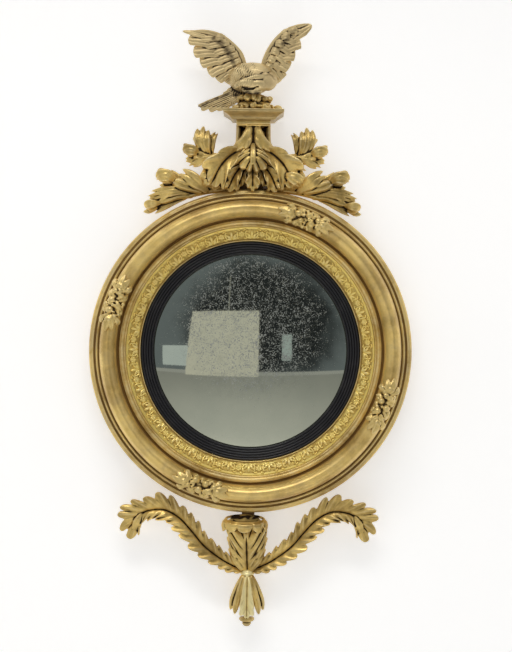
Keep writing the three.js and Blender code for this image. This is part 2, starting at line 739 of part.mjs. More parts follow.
CLUSTER_ANGLES.forEach((degrees, i) => {
  add(mirror, `fruit_cluster_${i + 1}`, fruitCluster(degrees), brightGold);
});

// ---------------------------------------------------------------- crest

// The frame's outer face, a little larger, for cutting what is seated on it.
function frameBody(shift) {
  const cove = OUTER_BEAD_HEIGHT + OUTER_BEAD_RADIUS + COVE_HEIGHT + 4;
  const profile = [
    [0, -1],
    [SEAT_RADIUS, -1],
    [SEAT_RADIUS, OUTER_BEAD_HEIGHT - OUTER_BEAD_RADIUS - GAP],
    [FRAME_RADIUS + GAP, OUTER_BEAD_HEIGHT - OUTER_BEAD_RADIUS - GAP],
    [FRAME_RADIUS + GAP, OUTER_BEAD_HEIGHT + OUTER_BEAD_RADIUS],
    [COVE_TOP_RADIUS + COVE_WIDTH * 0.5, cove],
    [COVE_TOP_RADIUS, cove + 4],
    [TORUS_OUTER + 1, TORUS_FOOT_HEIGHT + TORUS_RISE],
    [0, TORUS_FOOT_HEIGHT + TORUS_RISE],
  ];
  return solid(turned(profile, 2 * SEGMENTS).translate(0, 0, shift));
}

const frameBelow = frameBody(-FRAME_RADIUS);
const frameAbove = frameBody(FRAME_RADIUS);

// A point beside the frame, in the crest's own space: along the rim from its top, out from it.
function onRim(along, out, h) {
  const turn = along / FRAME_RADIUS;
  const r = FRAME_RADIUS + out;
  return at(r * Math.sin(turn), r * Math.cos(turn) - FRAME_RADIUS, h);
}

function crestBoard(grow = 0) {
  const seat = SEAT_RADIUS / Math.cos(0.02) - grow;
  const steps = 8;
  const outline = [];
  for (let i = 0; i <= steps; i++) {
    const x = lerp(-CREST_HALF_WIDTH - grow, CREST_HALF_WIDTH + grow, i / steps);
    outline.push([x, Math.sqrt(seat ** 2 - x ** 2) - FRAME_RADIUS]);
  }
  const shoulders = [[0.78, 0.3], [0.56, 0.64], [0.48, 1]];
  const rising = shoulders.map(([x, z]) => [x * CREST_HALF_WIDTH + grow, z * CREST_BOARD_TOP + grow]);
  outline.push(...rising, ...rising.map(([x, z]) => [-x, z]).reverse());
  return solid(sawn(outline, -grow, CREST_BOARD_THICKNESS + grow));
}

// Leafy spray that rises beside the pedestal: a stem, three upper lobes, a ball and two lower tips.
function upperSpray(grow = 0) {
  const options = { thickness: 13, grow };
  const parts = [
    lobe([at(-22, 58, 21), at(-48, 61, 27), at(-76, 60, 38), at(-92, 64, 42)], [9, 8, 8, 9], options),
    lobe([at(-84, 56, 40), at(-95, 74, 46), at(-100, 96, 44), at(-95, 114, 38)], [8, 14, 14, 3], options),
    lobe([at(-80, 58, 36), at(-76, 82, 40), at(-66, 107, 34)], [7, 9, 3], options),
    lobe([at(-86, 58, 42), at(-104, 66, 46), at(-120, 68, 46)], [8, 11, 13], options),
    lobe([at(-72, 58, 40), at(-96, 54, 44), at(-120, 44, 38)], [7, 9, 8, 2], options),
    lobe([at(-58, 60, 38), at(-76, 50, 42), at(-93, 35, 36)], [7, 9, 9, 2], options),
    ball(at(-120, 68, 46), [14, 13, 11], { grow }),
  ];
  return joined(parts);
}

// Leafy spray that follows the rim below it.
function lowerSpray(grow = 0) {
  const options = { thickness: 13, grow };
  const rim = (along, out, h) => onRim(-along, out, h);
  const parts = [
    lobe([rim(44, 8, 21), rim(80, 9, 28), rim(120, 12, 36), rim(150, 20, 40)], [9, 9, 9, 8], options),
    lobe([rim(84, 12, 36), rim(98, 34, 44), rim(116, 57, 40)], [10, 12, 11, 5], options),
    lobe([rim(110, 14, 38), rim(124, 36, 46), rim(140, 54, 46)], [9, 11, 12, 12], options),
    lobe([rim(128, 34, 44), rim(130, 54, 46), rim(129, 68, 40)], [6, 7, 6, 2], options),
    lobe([rim(130, 16, 40), rim(156, 34, 44), rim(182, 45, 38)], [8, 12, 11, 3], options),
    lobe([rim(136, 14, 38), rim(162, 20, 42), rim(192, 26, 40)], [8, 11, 11, 6], options),
    lobe([rim(130, 10, 34), rim(160, 9, 38), rim(188, 8, 36)], [7, 8, 7, 3], options),
    ball(rim(143, 56, 46), [15, 14, 11], { grow }),
    ball(rim(187, 26, 41), [12, 11, 9], { grow }),
  ];
  return joined(parts);
}

// Drooping acanthus leaf over the foot of the crest.
function crestLeaf(grow = 0) {
  const path = [at(-12, 72, 44), at(-33, 52, 54), at(-58, 27, 54), at(-86, 3, 46)];
  const options = { thickness: 14, grow };
  return joined([
    leaf(path, { left: [8, 18, 22, 15, 5], right: [8, 17, 21, 15, 5], lobes: 4, notch: 0.45, grow }),
    lobe([at(-20, 60, 32), at(-42, 34, 40), at(-66, 10, 38)], [12, 16, 14, 6], options),
    lobe([at(-30, 44, 48), at(-44, 20, 52), at(-52, 0, 46)], [9, 10, 9, 3], options),
  ]);
}

// Upright middle block with its hanging leaf and the smaller leaf under it.
function centreLeaf(grow = 0) {
  const options = { thickness: 12, grow };
  const parts = [
    lobe([at(0, 77, 31), at(0, 40, 32), at(0, -4, 29)], [24, 27, 22, 10], { thickness: 36, grow }),
    leaf([at(0, 77, 48), at(0, 58, 56), at(0, 36, 58)],
      { left: [13, 20, 4], right: [13, 20, 4], lobes: 2, grow }),
    leaf([at(0, 44, 46), at(0, 20, 50), at(0, -4, 46)],
      { left: [6, 9, 3], right: [6, 9, 3], lobes: 2, grow }),
  ];
  for (const hand of [-1, 1]) {
    const path = [at(hand * 12, 48, 44), at(hand * 16, 24, 48), at(hand * 18, 0, 42)];
    parts.push(lobe(path, [6, 8, 7, 3], options));
  }
  return joined(parts);
}

function pedestalSolid(grow = 0) {
  const foot = CREST_BOARD_TOP + 2 * GAP - grow;
  const half = PEDESTAL_HALF_WIDTH + grow;
  const top = PEDESTAL_TOP + grow;
  const parts = [
    solid(box(-half + 1, half - 1, foot, foot + 7, 2 - grow, PEDESTAL_DEPTH - 8 + grow)),
    solid(box(-half + 1, half - 1, top - 7, top, 2 - grow, PEDESTAL_DEPTH + grow)),
    solid(box(-half + 8, half - 8, foot, top, 2 - grow, 12 + grow)),
    solid(box(-3, 3, foot, top, 8, PEDESTAL_DEPTH - 8)),
  ];
  for (const hand of [-1, 1]) {
    const cheek = [[2, foot], [-2, foot + 10], [-3, top], [-9, top], [-8, foot]];
    const outline = cheek.map(([x, z]) => [hand * (half + x), z]);
    parts.push(solid(sawn(hand > 0 ? outline : outline.reverse(), 10 - grow, PEDESTAL_DEPTH - 14 + grow)));
    const strap = [
      at(hand * 6, top - 2, PEDESTAL_DEPTH - 5), at(hand * 8, foot + 30, PEDESTAL_DEPTH - 3),
      at(hand * 14, foot + 14, PEDESTAL_DEPTH - 5), at(hand * 27, foot + 4, PEDESTAL_DEPTH - 11),
    ];
    parts.push(lobe(strap, [4, 5, 5.5, 4], { thickness: 9, grow }));
  }
  return joined(parts);
}

// The eagle's plinth: a mitred moulding under a flat top.
function plinthSolid() {
  const foot = PEDESTAL_TOP + GAP;
  const moulding = [[0, 17], [3, 14], [5, 14], [9, 6], [12, 2.5], [13, 0], [19, 0]];
  const whole = moulding.at(-1)[0];
  const sections = moulding.map(([rise, inset]) => {
    const z = foot + (rise / whole) * PLINTH_RISE;
    const x = PLINTH_HALF_WIDTH - inset;
    const back = PLINTH_BACK + inset / 3;
    const front = PLINTH_FRONT - inset;
    return [at(-x, z, back), at(x, z, back), at(x, z, front), at(-x, z, front)];
  });
  return solid(loft(sections));
}

const plinthTop = PEDESTAL_TOP + GAP + PLINTH_RISE;
const eagle = new THREE.Group();
eagle.position.z = plinthTop;
crest.add(eagle);

const plinthMiddle = (PLINTH_BACK + PLINTH_FRONT) / 2;

// The iron rod that pins the eagle, or a bore round it, about the top of the plinth.
function rod(grow = 0) {
  const radius = ROD_RADIUS + grow;
  const [low, high] = [-ROD_SINK - grow, ROD_RISE + grow];
  const profile = [[0, low], [radius, low], [radius, high], [0, high]];
  const points = profile.map(([r, z]) => new THREE.Vector2(r, z));
  return new THREE.LatheGeometry(points, 8).rotateX(Math.PI / 2).translate(0, -plinthMiddle, 0);
}

function rodHole(shift = 0) {
  return solid(rod(GAP).translate(0, 0, shift));
}

// Piled rocks, flat under their foot: [x, z, h, radius] for a pile 30 mm high.
function rocks(grow = 0) {
  const lumps = [
    [-25, 8, 36, 16], [-19, 8, 60, 15], [3, 8, 64, 16], [25, 8, 56, 15], [26, 8, 34, 16], [0, 8, 30, 16],
    [-13, 20, 47, 15], [13, 20, 47, 15], [44, 5, 40, 10],
  ];
  const scale = ROCK_RISE / 30;
  const parts = lumps.map(([x, z, h, radius]) => {
    const shape = new THREE.IcosahedronGeometry(radius + grow * 1.3).scale(1, 1, 0.72 * scale);
    return solid(shape.translate(x, -h, z * scale));
  });
  const under = solid(box(-BEYOND, BEYOND, -BEYOND, GAP - grow, -BEYOND, BEYOND));
  return cut(joined(parts), [under]);
}

// Body, tail, bent neck and head with an open beak, looking to the left.
function eagleBody(grow = 0) {
  const z = ROCK_RISE;
  return joined([
    lobe([at(-42, z + 18, 46), at(-14, z + 29, 46), at(18, z + 30, 48), at(42, z + 26, 52)],
      [9, 24, 30, 31, 30, 24, 8], { thickness: 58, sides: 7, stations: 6, grow }),
    lobe([at(-20, z + 16, 44), at(-62, z - 6, 40), at(-103, z - 23, 34)],
      [14, 15, 13, 6], { thickness: 8, stations: 4, grow }),
    lobe([at(34, z + 26, 62), at(20, z + 26, 84), at(-6, z + 21, 92), at(-31, z + 12, 94)],
      [20, 17, 12, 8, 2], { thickness: 30, sides: 6, stations: 4, grow }),
    lobe([at(26, z + 20, 70), at(8, z + 8, 86), at(-16, z + 3, 90)],
      [14, 8, 3], { thickness: 16, stations: 4, grow }),
  ]);
}

// A raised wing: a thick leading edge, and a feather from it to each point of the trailing edge.
// The points are [x, z, h].
function wing(leading, trailing) {
  const ridge = leading.map(([x, z, h]) => at(x, z - WING_RIDGE, h));
  const lead = spline(ridge);
  const parts = [lobe(ridge, [11, 11, 10, 9, 8, 6, 3], { thickness: WING_THICKNESS })];
  trailing.forEach(([x, z, h], i) => {
    const root = lead.getPoint(lerp(0.66, 0.02, i / (trailing.length - 1)));
    const tip = at(x, z, h);
    const middle = root.clone().lerp(tip, 0.55).add(at(0, -2, 3));
    parts.push(lobe([root, middle, tip], [8, 12.5, 8], { thickness: FEATHER_THICKNESS }));
  });
  return joined(parts);
}

const crestParts = {
  board: crestBoard(GAP),
  pedestal: pedestalSolid(GAP),
  upperLeft: upperSpray(SEAT),
  lowerLeft: lowerSpray(SEAT),
};
const mirrored = (body) => body.mirror([1, 0, 0]);

add(crest, 'crest_board', geometryOf(cut(crestBoard(), braceHoles.crest)), pine);
add(crest, 'pedestal', geometryOf(cut(pedestalSolid(), [rodHole(plinthTop)])), gold);
add(crest, 'plinth', geometryOf(cut(plinthSolid(), [rodHole(plinthTop)])), gold);

const upperLeft = cut(upperSpray(), [crestParts.board, crestParts.pedestal, frameBelow]);
const lowerLeft = cut(lowerSpray(), [crestParts.board, frameBelow, crestParts.upperLeft]);
add(crest, 'upper_spray_left', geometryOf(upperLeft), gold);
add(crest, 'upper_spray_right', geometryOf(mirrored(upperLeft)), gold);
add(crest, 'lower_spray_left', geometryOf(lowerLeft), gold);
add(crest, 'lower_spray_right', geometryOf(mirrored(lowerLeft)), gold);

const leftSprays = [crestParts.upperLeft, crestParts.lowerLeft];
const behind = [crestParts.board, crestParts.pedestal, frameBelow, ...leftSprays];
const centre = cut(centreLeaf(), [...behind, ...leftSprays.map(mirrored)]);
add(crest, 'crest_centre_leaf', geometryOf(centre), gold);
const leafLeft = cut(crestLeaf(), [...behind, centreLeaf(SEAT)]);
add(crest, 'crest_leaf_left', geometryOf(leafLeft), gold);
add(crest, 'crest_leaf_right', geometryOf(mirrored(leafLeft)), gold);

add(eagle, 'eagle_rod', rod(), iron);
add(eagle, 'rockwork', geometryOf(cut(rocks(), [rodHole()])), gold);
const body = cut(eagleBody(), [rocks(SEAT), rodHole()]);
add(eagle, 'eagle_body', geometryOf(body), gold);
const bodySpace = eagleBody(SEAT);
const leftWing = wing([
  [-16, 84, 44], [-22, 98, 44], [-28, 113, 46], [-49, 129, 50],
  [-68, 142, 53], [-90, 149, 55], [-130, 147, 56],
], [
  [-134, 146, 56], [-121, 124, 55], [-111, 100, 54], [-97, 80, 52],
  [-80, 64, 50], [-64, 55, 48], [-48, 54, 46],
]);
const rightWing = wing([
  [14, 84, 44], [20, 102, 44], [30, 120, 46], [42, 136, 50],
  [58, 150, 53], [78, 159, 55], [104, 164, 56],
], [
  [108, 162, 56], [90, 142, 55], [84, 120, 54], [75, 98, 52],
  [66, 80, 50], [54, 66, 48], [46, 56, 46],
]);
add(eagle, 'eagle_wing_left', geometryOf(cut(leftWing, [bodySpace])), gold);
add(eagle, 'eagle_wing_right', geometryOf(cut(rightWing, [bodySpace])), gold);

// ---------------------------------------------------------------- apron

const seatTop = FRAME_RADIUS - SEAT_RADIUS;

function tongue(grow = 0) {
  const half = TONGUE_WIDTH / 2 + grow;
  return solid(box(-half, half, -TONGUE_DROP - grow, seatTop + grow, -grow, TONGUE_THICKNESS + grow));
}

// Long scalloped leaf that springs from the foot of the tongue and droops at its tip.
function apronSpray(grow = 0) {
  const path = [
    at(-4, -110, 28), at(-48, -88, 34), at(-82, -62, 38), at(-106, -34, 40), at(-130, -9, 42),
    at(-158, 5, 42), at(-189, 3, 40), at(-212, -10, 36), at(-230, -30, 30),
  ];
  return leaf(path, {
    left: [6, 14, 16, 18, 19, 18, 17, 18, 16, 9],
    right: [6, 16, 20, 24, 26, 24, 24, 24, 18, 8],
    lobes: 10, notch: 0.55, sweep: 9, crown: 6, thickness: SPRAY_THICKNESS, grow,
  });
}

// Upright leaf before the tongue, its tip rolled forward into a lip.
function bracketLeaf(grow = 0) {
  const path = [at(0, -112, 32), at(0, -84, 36), at(0, -54, 40), at(0, -24, 46)];
  const half = [9, 18, 28, 36, 37];
  const lip = [at(-36, -18, 44), at(-18, -20, 58), at(0, -22, 63), at(18, -20, 58), at(36, -18, 44)];
  return joined([
    leaf(path, { left: half, right: half, lobes: 4, notch: 0.4, sweep: 12, thickness: 14, grow }),
    lobe([at(0, -112, 24), at(0, -60, 27), at(0, -14, 30)], [9, 13, 20], { thickness: 24, grow }),
    ball(at(0, -14, 40), [38, 6, 24], { grow }),
    lobe(lip, [4, 8, 9, 8, 4], { thickness: 12, grow }),
  ]);
}

// Drooping bud of leaves under the collar.
function pendantSolid(grow = 0) {
  const foot = -PENDANT_DROP - 1;
  const top = -TONGUE_DROP - 1;
  const level = (u) => lerp(top, foot, u);
  const parts = [
    lobe([0, 0.5, 1].map((u) => at(0, level(u), PENDANT_HEIGHT)),
      [9, 13, 17, 15], { thickness: 28, sides: 6, stations: 3, grow }),
    lobe([at(0, top - 4, 36), at(0, level(0.5), 50), at(0, level(0.94), 44)],
      [7, 12, 15, 13, 6], { thickness: 14, stations: 3, grow }),
    ball(at(0, top - 2, 30), [13, 5, 13], { grow }),
  ];
  for (const hand of [-1, 1]) {
    const side = [at(hand * 6, top - 4, 34), at(hand * 20, level(0.48), 38), at(hand * 32, level(0.93), 30)];
    const rear = [at(hand * 5, top - 4, 22), at(hand * 14, level(0.5), 18), at(hand * 18, level(0.9), 14)];
    parts.push(lobe(side, [5, 10, 3], { thickness: 12, grow }));
    parts.push(lobe(rear, [5, 9, 6], { thickness: 10, grow }));
  }
  return joined(parts);
}

// A turned finial on the pendant's axis.
function finialGeometry() {
  const top = -PENDANT_DROP - GAP;
  const profile = [[0, -19], [4, -18], [6, -13], [4, -9], [13, -7], [15, -4], [12, -1], [6, 0], [0, 0]];
  const points = profile.map(([r, z]) => new THREE.Vector2(r, z + top));
  return new THREE.LatheGeometry(points, 12).rotateX(Math.PI / 2).translate(0, -PENDANT_HEIGHT, 0);
}

const tongueSpace = tongue(GAP);
const spraySpace = apronSpray(SEAT);
const rightHalf = solid(box(-GAP, BEYOND, -BEYOND, BEYOND, -BEYOND, BEYOND));
const sprayLeft = cut(apronSpray(), [tongueSpace, frameAbove, rightHalf]);
add(apron, 'apron_tongue', geometryOf(cut(tongue(), braceHoles.apron)), pine);
add(apron, 'apron_spray_left', geometryOf(sprayLeft), gold);
add(apron, 'apron_spray_right', geometryOf(mirrored(sprayLeft)), gold);
const bracket = cut(bracketLeaf(), [tongueSpace, spraySpace, mirrored(spraySpace), frameAbove]);
add(apron, 'bracket_leaf', geometryOf(bracket), gold);
const below = solid(box(-BEYOND, BEYOND, -BEYOND, -PENDANT_DROP, -BEYOND, BEYOND));
const above = [tongueSpace, spraySpace, mirrored(spraySpace), bracketLeaf(SEAT)];
const pendantBody = cut(pendantSolid(), [...above, below]);
add(apron, 'pendant', geometryOf(pendantBody), brightGold);
add(apron, 'finial', finialGeometry(), gold);

// ---------------------------------------------------------------- frame ring, with its screw holes

add(mirror, 'frame_ring', geometryOf(cut(solid(turnedRing(frameProfile())), frameHoles)), gold);

export default mirror;
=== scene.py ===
"""Looks of the girandole mirror: a convex glass in a round giltwood frame, eagle crest, leaf apron.

Shapes are worked out in millimetres and written to the meshes in metres. A point on the carving is
(x, z, h): x to the right, z up, and h its height in front of the back plane, which is y = 0.
"""

import math

import bpy
import numpy as np
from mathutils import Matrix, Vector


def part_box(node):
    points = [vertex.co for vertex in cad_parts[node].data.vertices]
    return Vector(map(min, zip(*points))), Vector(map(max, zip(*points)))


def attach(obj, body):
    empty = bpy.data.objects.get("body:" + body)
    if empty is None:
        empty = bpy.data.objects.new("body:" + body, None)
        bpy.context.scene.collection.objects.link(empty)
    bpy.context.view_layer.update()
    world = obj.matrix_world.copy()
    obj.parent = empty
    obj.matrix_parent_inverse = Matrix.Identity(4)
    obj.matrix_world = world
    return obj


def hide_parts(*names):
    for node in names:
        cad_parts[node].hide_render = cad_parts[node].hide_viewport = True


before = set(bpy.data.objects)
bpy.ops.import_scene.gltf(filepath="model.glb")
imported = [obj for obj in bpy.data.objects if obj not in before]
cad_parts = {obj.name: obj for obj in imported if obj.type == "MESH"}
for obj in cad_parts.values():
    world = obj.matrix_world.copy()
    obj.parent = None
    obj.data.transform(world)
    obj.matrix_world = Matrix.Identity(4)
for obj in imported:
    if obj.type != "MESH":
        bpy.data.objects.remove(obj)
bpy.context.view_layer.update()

MM = 0.001
ROOT = "root"
FORWARD = np.array([0.0, -1.0, 0.0])
UP = np.array([0.0, 0.0, 1.0])
RNG = np.random.default_rng(7)


def box_mm(node):
    """Lowest and highest corner of a CAD node, in millimetres."""
    low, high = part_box(node)
    return np.array(low) / MM, np.array(high) / MM


# ---------------------------------------------------------------- sizes read from the frame

RIM = box_mm("frame_ring")[1][0]
TORUS_CROWN_HEIGHT = -box_mm("frame_ring")[0][1]
PACKING_REACH = 9.4  # the packing ring's edge outside the sight edge
SLIP_WIDTH = 24
BEAD_GAP = 2
BAND_WIDTH = 24.5
SIGHT_RADIUS = box_mm("packing_ring")[1][0] - PACKING_REACH
SLIP_RADIUS = SIGHT_RADIUS + SLIP_WIDTH
BAND_INNER = SLIP_RADIUS + BEAD_GAP
BAND_OUTER = BAND_INNER + BAND_WIDTH
PLINTH_LOW, PLINTH_HIGH = box_mm("plinth")
PEDESTAL_LOW, PEDESTAL_HIGH = box_mm("pedestal")
FINIAL_LOW, FINIAL_HIGH = box_mm("finial")

# Members of the frame's moulding, from the slip outwards.
LIP_HEIGHT = 38.0
BAND_RISE = 12.0
BAND_THICKNESS = 5.0
BEAD_RADIUS = 3.2
BEAD_MIDDLE = BAND_OUTER + 3.8 + BEAD_RADIUS
TORUS_INNER = BEAD_MIDDLE + BEAD_RADIUS + 6.3
TORUS_HALF = 16.0
TORUS_MIDDLE = TORUS_INNER + TORUS_HALF
TORUS_FOOT = 64.0
TORUS_RISE = TORUS_CROWN_HEIGHT - TORUS_FOOT
COVE_FOOT = RIM - 8.0
OUTER_BEAD_HEIGHT = 38.0
GLASS_EDGE_HEIGHT = 24.5
GLASS_BULGE = 24.0
GLASS_SPHERE = (SIGHT_RADIUS**2 + GLASS_BULGE**2) / (2 * GLASS_BULGE)

# ---------------------------------------------------------------- mesh helpers


def unit(vectors):
    return vectors / np.maximum(np.linalg.norm(vectors, axis=-1, keepdims=True), 1e-9)


def crest(x, rise, h):
    """A point of the crest, its height given above the top of the frame."""
    return (x, -h, RIM + rise)


def apron(x, rise, h):
    """A point of the apron, its height given from the bottom of the frame."""
    return (x, -h, rise - RIM)


def path_on(place, *points):
    """A path through points given in a part's own terms."""
    return [place(*point) for point in points]


def curve(points, count):
    """Places and directions along a smooth curve through the points."""
    p = np.asarray(points, float)
    p = np.vstack([2 * p[0] - p[1], p, 2 * p[-1] - p[-2]])
    u = np.linspace(0, len(p) - 3, count)
    i = np.minimum(u.astype(int), len(p) - 4)
    t = (u - i)[:, None]
    a, b, c, d = p[i], p[i + 1], p[i + 2], p[i + 3]
    square, cube = 2 * a - 5 * b + 4 * c - d, 3 * b - a - 3 * c + d
    place = 0.5 * (2 * b + (c - a) * t + square * t**2 + cube * t**3)
    return place, unit(0.5 * ((c - a) + 2 * square * t + 3 * cube * t**2))


def circle(count):
    """Angles evenly spaced round a full turn."""
    return np.linspace(0, 2 * math.pi, count, endpoint=False)


def spread(values, u):
    return np.interp(u, np.linspace(0, 1, len(values)), values)


def rounding(u, root, tip):
    """1 along a lobe, falling to nearly 0 as an arc over its root and its tip."""
    start = np.clip((root - u) / max(root, 1e-6), 0, 1)
    end = np.clip((u - 1 + tip) / max(tip, 1e-6), 0, 1)
    return np.sqrt(np.clip(1 - start**2, 0.004, 1) * np.clip(1 - end**2, 0.004, 1))


def tube(rings):
    """Closed skin over a row of rings, shaped (rings, points, 3)."""
    count, sides = rings.shape[:2]
    verts = rings.reshape(-1, 3)
    faces = []
    for i in range(count - 1):
        for j in range(sides):
            k = (j + 1) % sides
            faces.append((i * sides + j, i * sides + k, (i + 1) * sides + k, (i + 1) * sides + j))
    faces.append(tuple(range(sides))[::-1])
    faces.append(tuple((count - 1) * sides + j for j in range(sides)))
    return verts, faces


LOBE_STATIONS = 26
LOBE_SIDES = 22


def lobe(path, widths, depth=6.0, back=3.5, flutes=1.0, groove=0.2, tip=0.3, root=0.1, fine=1.0, lie=FORWARD):
    """A carved lobe along a path: half widths, a fluted and crowned front, a rounded tip."""
    stations, sides = int(LOBE_STATIONS * fine), int(LOBE_SIDES * fine)
    place, along = curve(path, stations)
    side = unit(np.cross(along, lie))
    front = np.cross(side, along)
    u = np.linspace(0, 1, stations)
    half = spread(widths, u) * rounding(u, root, tip)
    thin = np.sqrt(half / half.max())
    angle = circle(sides)
    c, s = np.cos(angle), np.sin(angle)
    valley = 0.5 + 0.5 * np.cos(2 * math.pi * flutes * c)
    face = np.sign(s) * np.abs(s) ** 0.75 * np.where(s > 0, depth * (1 - groove * valley), back)
    rings = (
        place[:, None]
        + side[:, None] * (half[:, None] * c)[..., None]
        + front[:, None] * (thin[:, None] * face)[..., None]
    )
    return tube(rings)


def ball(centre, radii, steps=14):
    """An ellipsoid with radii along x, z and h."""
    rx, rz, rh = radii
    polar = np.linspace(0.02, math.pi - 0.02, steps)
    turn = circle(steps + 6)
    ring = np.stack(
        [
            rx * np.sin(polar)[:, None] * np.cos(turn),
            rh * np.sin(polar)[:, None] * np.sin(turn),
            rz * np.cos(polar)[:, None] * np.ones_like(turn),
        ],
        axis=-1,
    )
    return tube(ring + np.array(centre))


def block(x0, x1, z0, z1, h0, h1):
    ring = np.array([[(x0, -h0, z), (x1, -h0, z), (x1, -h1, z), (x0, -h1, z)] for z in (z0, z1)], float)
    return tube(ring)


BLADE_STATIONS = 25
FINGER_STATIONS = 6


def blade(path, widths, fingers, depth, ragged=0.16, flare=0.35, groove=0.3):
    """An acanthus blade: fingers side by side that part towards a ragged tip."""
    place, along = curve(path, BLADE_STATIONS)
    side = unit(np.cross(along, FORWARD))
    u = np.linspace(0, 1, BLADE_STATIONS)
    half = spread(widths, u) * (0.45 + 0.55 * np.minimum(u * 2.2, 1))
    parts = []
    for k in range(fingers):
        c = (2 * k + 1) / fingers - 1
        reach = 1 - ragged * abs(c) * (1.35 if k % 2 else 0.85)
        line = place + side * (half * c * (0.72 + flare * u**2))[:, None]
        picks = np.linspace(0, int((BLADE_STATIONS - 1) * reach), FINGER_STATIONS).astype(int)
        width = half[picks] / fingers * 1.4 * np.linspace(1, 0.7, FINGER_STATIONS)
        parts.append(lobe(line[picks], width, depth - 1.2 * abs(c), groove=groove, fine=0.8))
    return parts


LEAF_ROWS = 12  # to each finger
LEAF_COLUMNS = 33


def acanthus(
    path, lower, upper, fingers, lean, fan, relief, crown,
    thick=4.0, notch=0.35, bow=0.0, swell=1.0, close=1.0, seed=5,
):
    """A serrated leaf: strands sweep from a sunk midrib to both edges and fan out at its tip.

    Half widths are listed along the path for both edges. Lean is the strands' angle to the midrib,
    bow sets how far the edges fall back behind it, a swell under 1 widens the fingers near the tip, and
    close is the length of the last strands against the rest.
    """
    rows = fingers * LEAF_ROWS + 1
    place, along = curve(path, rows)
    side = unit(np.cross(along, FORWARD))
    front = np.cross(side, along)
    u = np.linspace(0, 1, rows)[:, None]
    count = u**swell * fingers
    phase = count % 1
    lengths = np.random.default_rng(seed).uniform(0.88, 1.06, fingers + 1)[count.astype(int)]
    lengths = lengths * (0.86 + 0.14 * np.sin(math.pi * ((count / 3) % 1)))
    reach = lengths * (1 - notch * (1 - np.sqrt(1 - 0.95 * (2 * phase**1.25 - 1) ** 2)))
    ridge = np.sin(math.pi * phase) ** 0.8
    v = np.linspace(-1, 1, LEAF_COLUMNS)[None]
    across = np.abs(v)
    half = np.where(v < 0, spread(lower, u), spread(upper, u))
    angle = np.radians(np.interp(u, [0, fan, 1], [lean, lean, 5]))
    strand = half / math.sin(math.radians(lean)) * reach * np.interp(u, [0, fan, 1], [1, 1, close])
    out = np.sign(v) * across * strand * np.sin(angle)
    ahead = across**1.35 * strand * np.cos(angle)
    rise = crown * across * (2.2 - 1.5 * across) + relief * ridge * across**0.6 - bow * across**2
    midrib = 1.8 * np.exp(-((across / 0.09) ** 2))
    rise = rise + relief * 0.5 * np.cos(4 * math.pi * phase) * across * 0.35 - midrib
    base = place[:, None] + side[:, None] * out[..., None] + along[:, None] * ahead[..., None]
    face = base + front[:, None] * rise[..., None]
    rear = base + front[:, None] * (0 * ahead - thick * (1 - 0.45 * across) - bow * across**2)[..., None]
    return tube(np.concatenate([face, rear[:, ::-1]], axis=1))


def flipped(parts):
    """The same parts on the other hand."""
    return [(verts * np.array([-1, 1, 1]), [face[::-1] for face in faces]) for verts, faces in parts]


def mesh_of(parts):
    verts = np.vstack([v for v, _ in parts])
    faces = []
    offset = 0
    for v, f in parts:
        faces += [tuple(i + offset for i in face) for face in f]
        offset += len(v)
    mesh = bpy.data.meshes.new("parts")
    mesh.from_pydata(verts.tolist(), [], faces)
    return mesh


def read(items, name, width, kind=float):
    """A named property of every item, as rows of the given width."""
    out = np.empty(len(items) * width, kind)
    items.foreach_get(name, out)
    return out.reshape(-1, width)


def places(mesh):
    return read(mesh.vertices, "co", 3)


def set_places(mesh, points):
    mesh.vertices.foreach_set("co", points.ravel())
    mesh.update()


def normals_of(mesh):
    return read(mesh.vertex_normals, "vector", 3, np.float32).astype(float)


def edges_of(mesh):
    return read(mesh.edges, "vertices", 2, np.int32)


def averaged(points, edges, rounds):
    """Each vertex moved to the mean of its neighbours, again and again."""
    count = len(points)
    a, b = edges.T
    both, other = np.concatenate([a, b]), np.concatenate([b, a])
    share = np.maximum(np.bincount(both, minlength=count), 1)
    for _ in range(rounds):
        points = np.stack(
            [np.bincount(both, weights=points[other, k], minlength=count) / share for k in range(3)], axis=1
        )
    return points


def store(mesh, name, values):
    layer = mesh.attributes.new(name, "FLOAT", "POINT")
    layer.data.foreach_set("value", np.clip(values, 0, 1).astype(np.float32))


SHADE_AND_DIRT_DEPTH = 1.15
WEAR_AND_HIGHLIGHT_HEIGHT = 0.24


def store_hollows_and_ridges(mesh, points, broad, dark_lines):
    """Stores how hollow each point lies, for dirt and painted shade, and how proud, for wear and painted
    highlight. Points are in mm.

    Broad is how many rounds of averaging give the surface that hollows are measured from. A dark line is
    a line of (x, z) pairs, its width and its strength; points near it are stored as hollow.
    """
    edges = edges_of(mesh)
    normals = normals_of(mesh)
    near = averaged(points, edges, 3)
    far = averaged(near, edges, broad)
    sunk = np.einsum("ij,ij->i", far - points, normals)
    proud = np.einsum("ij,ij->i", points - near, normals)
    shade_and_grime = np.clip(sunk / SHADE_AND_DIRT_DEPTH, 0, 1)
    x, z = points[:, 0], points[:, 2]
    cloud = np.sin(x * 0.31 + 1.7 * np.sin(z * 0.23)) * np.sin(z * 0.37 + 1.3 * np.sin(x * 0.19))
    # Dark lines add to the stored hollowness; in the eagle's head crease and the bracket's dish they are
    # painted shade.
    for line, width, strength in dark_lines:
        darkening = np.exp(-((near_line(points, line) / width) ** 2))
        shade_and_grime = np.maximum(shade_and_grime, strength * darkening * np.clip(0.75 + 0.6 * cloud, 0, 1))
    store(mesh, "hollow", shade_and_grime)
    store(mesh, "ridge", np.clip(proud / WEAR_AND_HIGHLIGHT_HEIGHT, 0, 1))


def added(name, data):
    """A new object of the scene."""
    made = bpy.data.objects.new(name, data)
    bpy.context.scene.collection.objects.link(made)
    return made


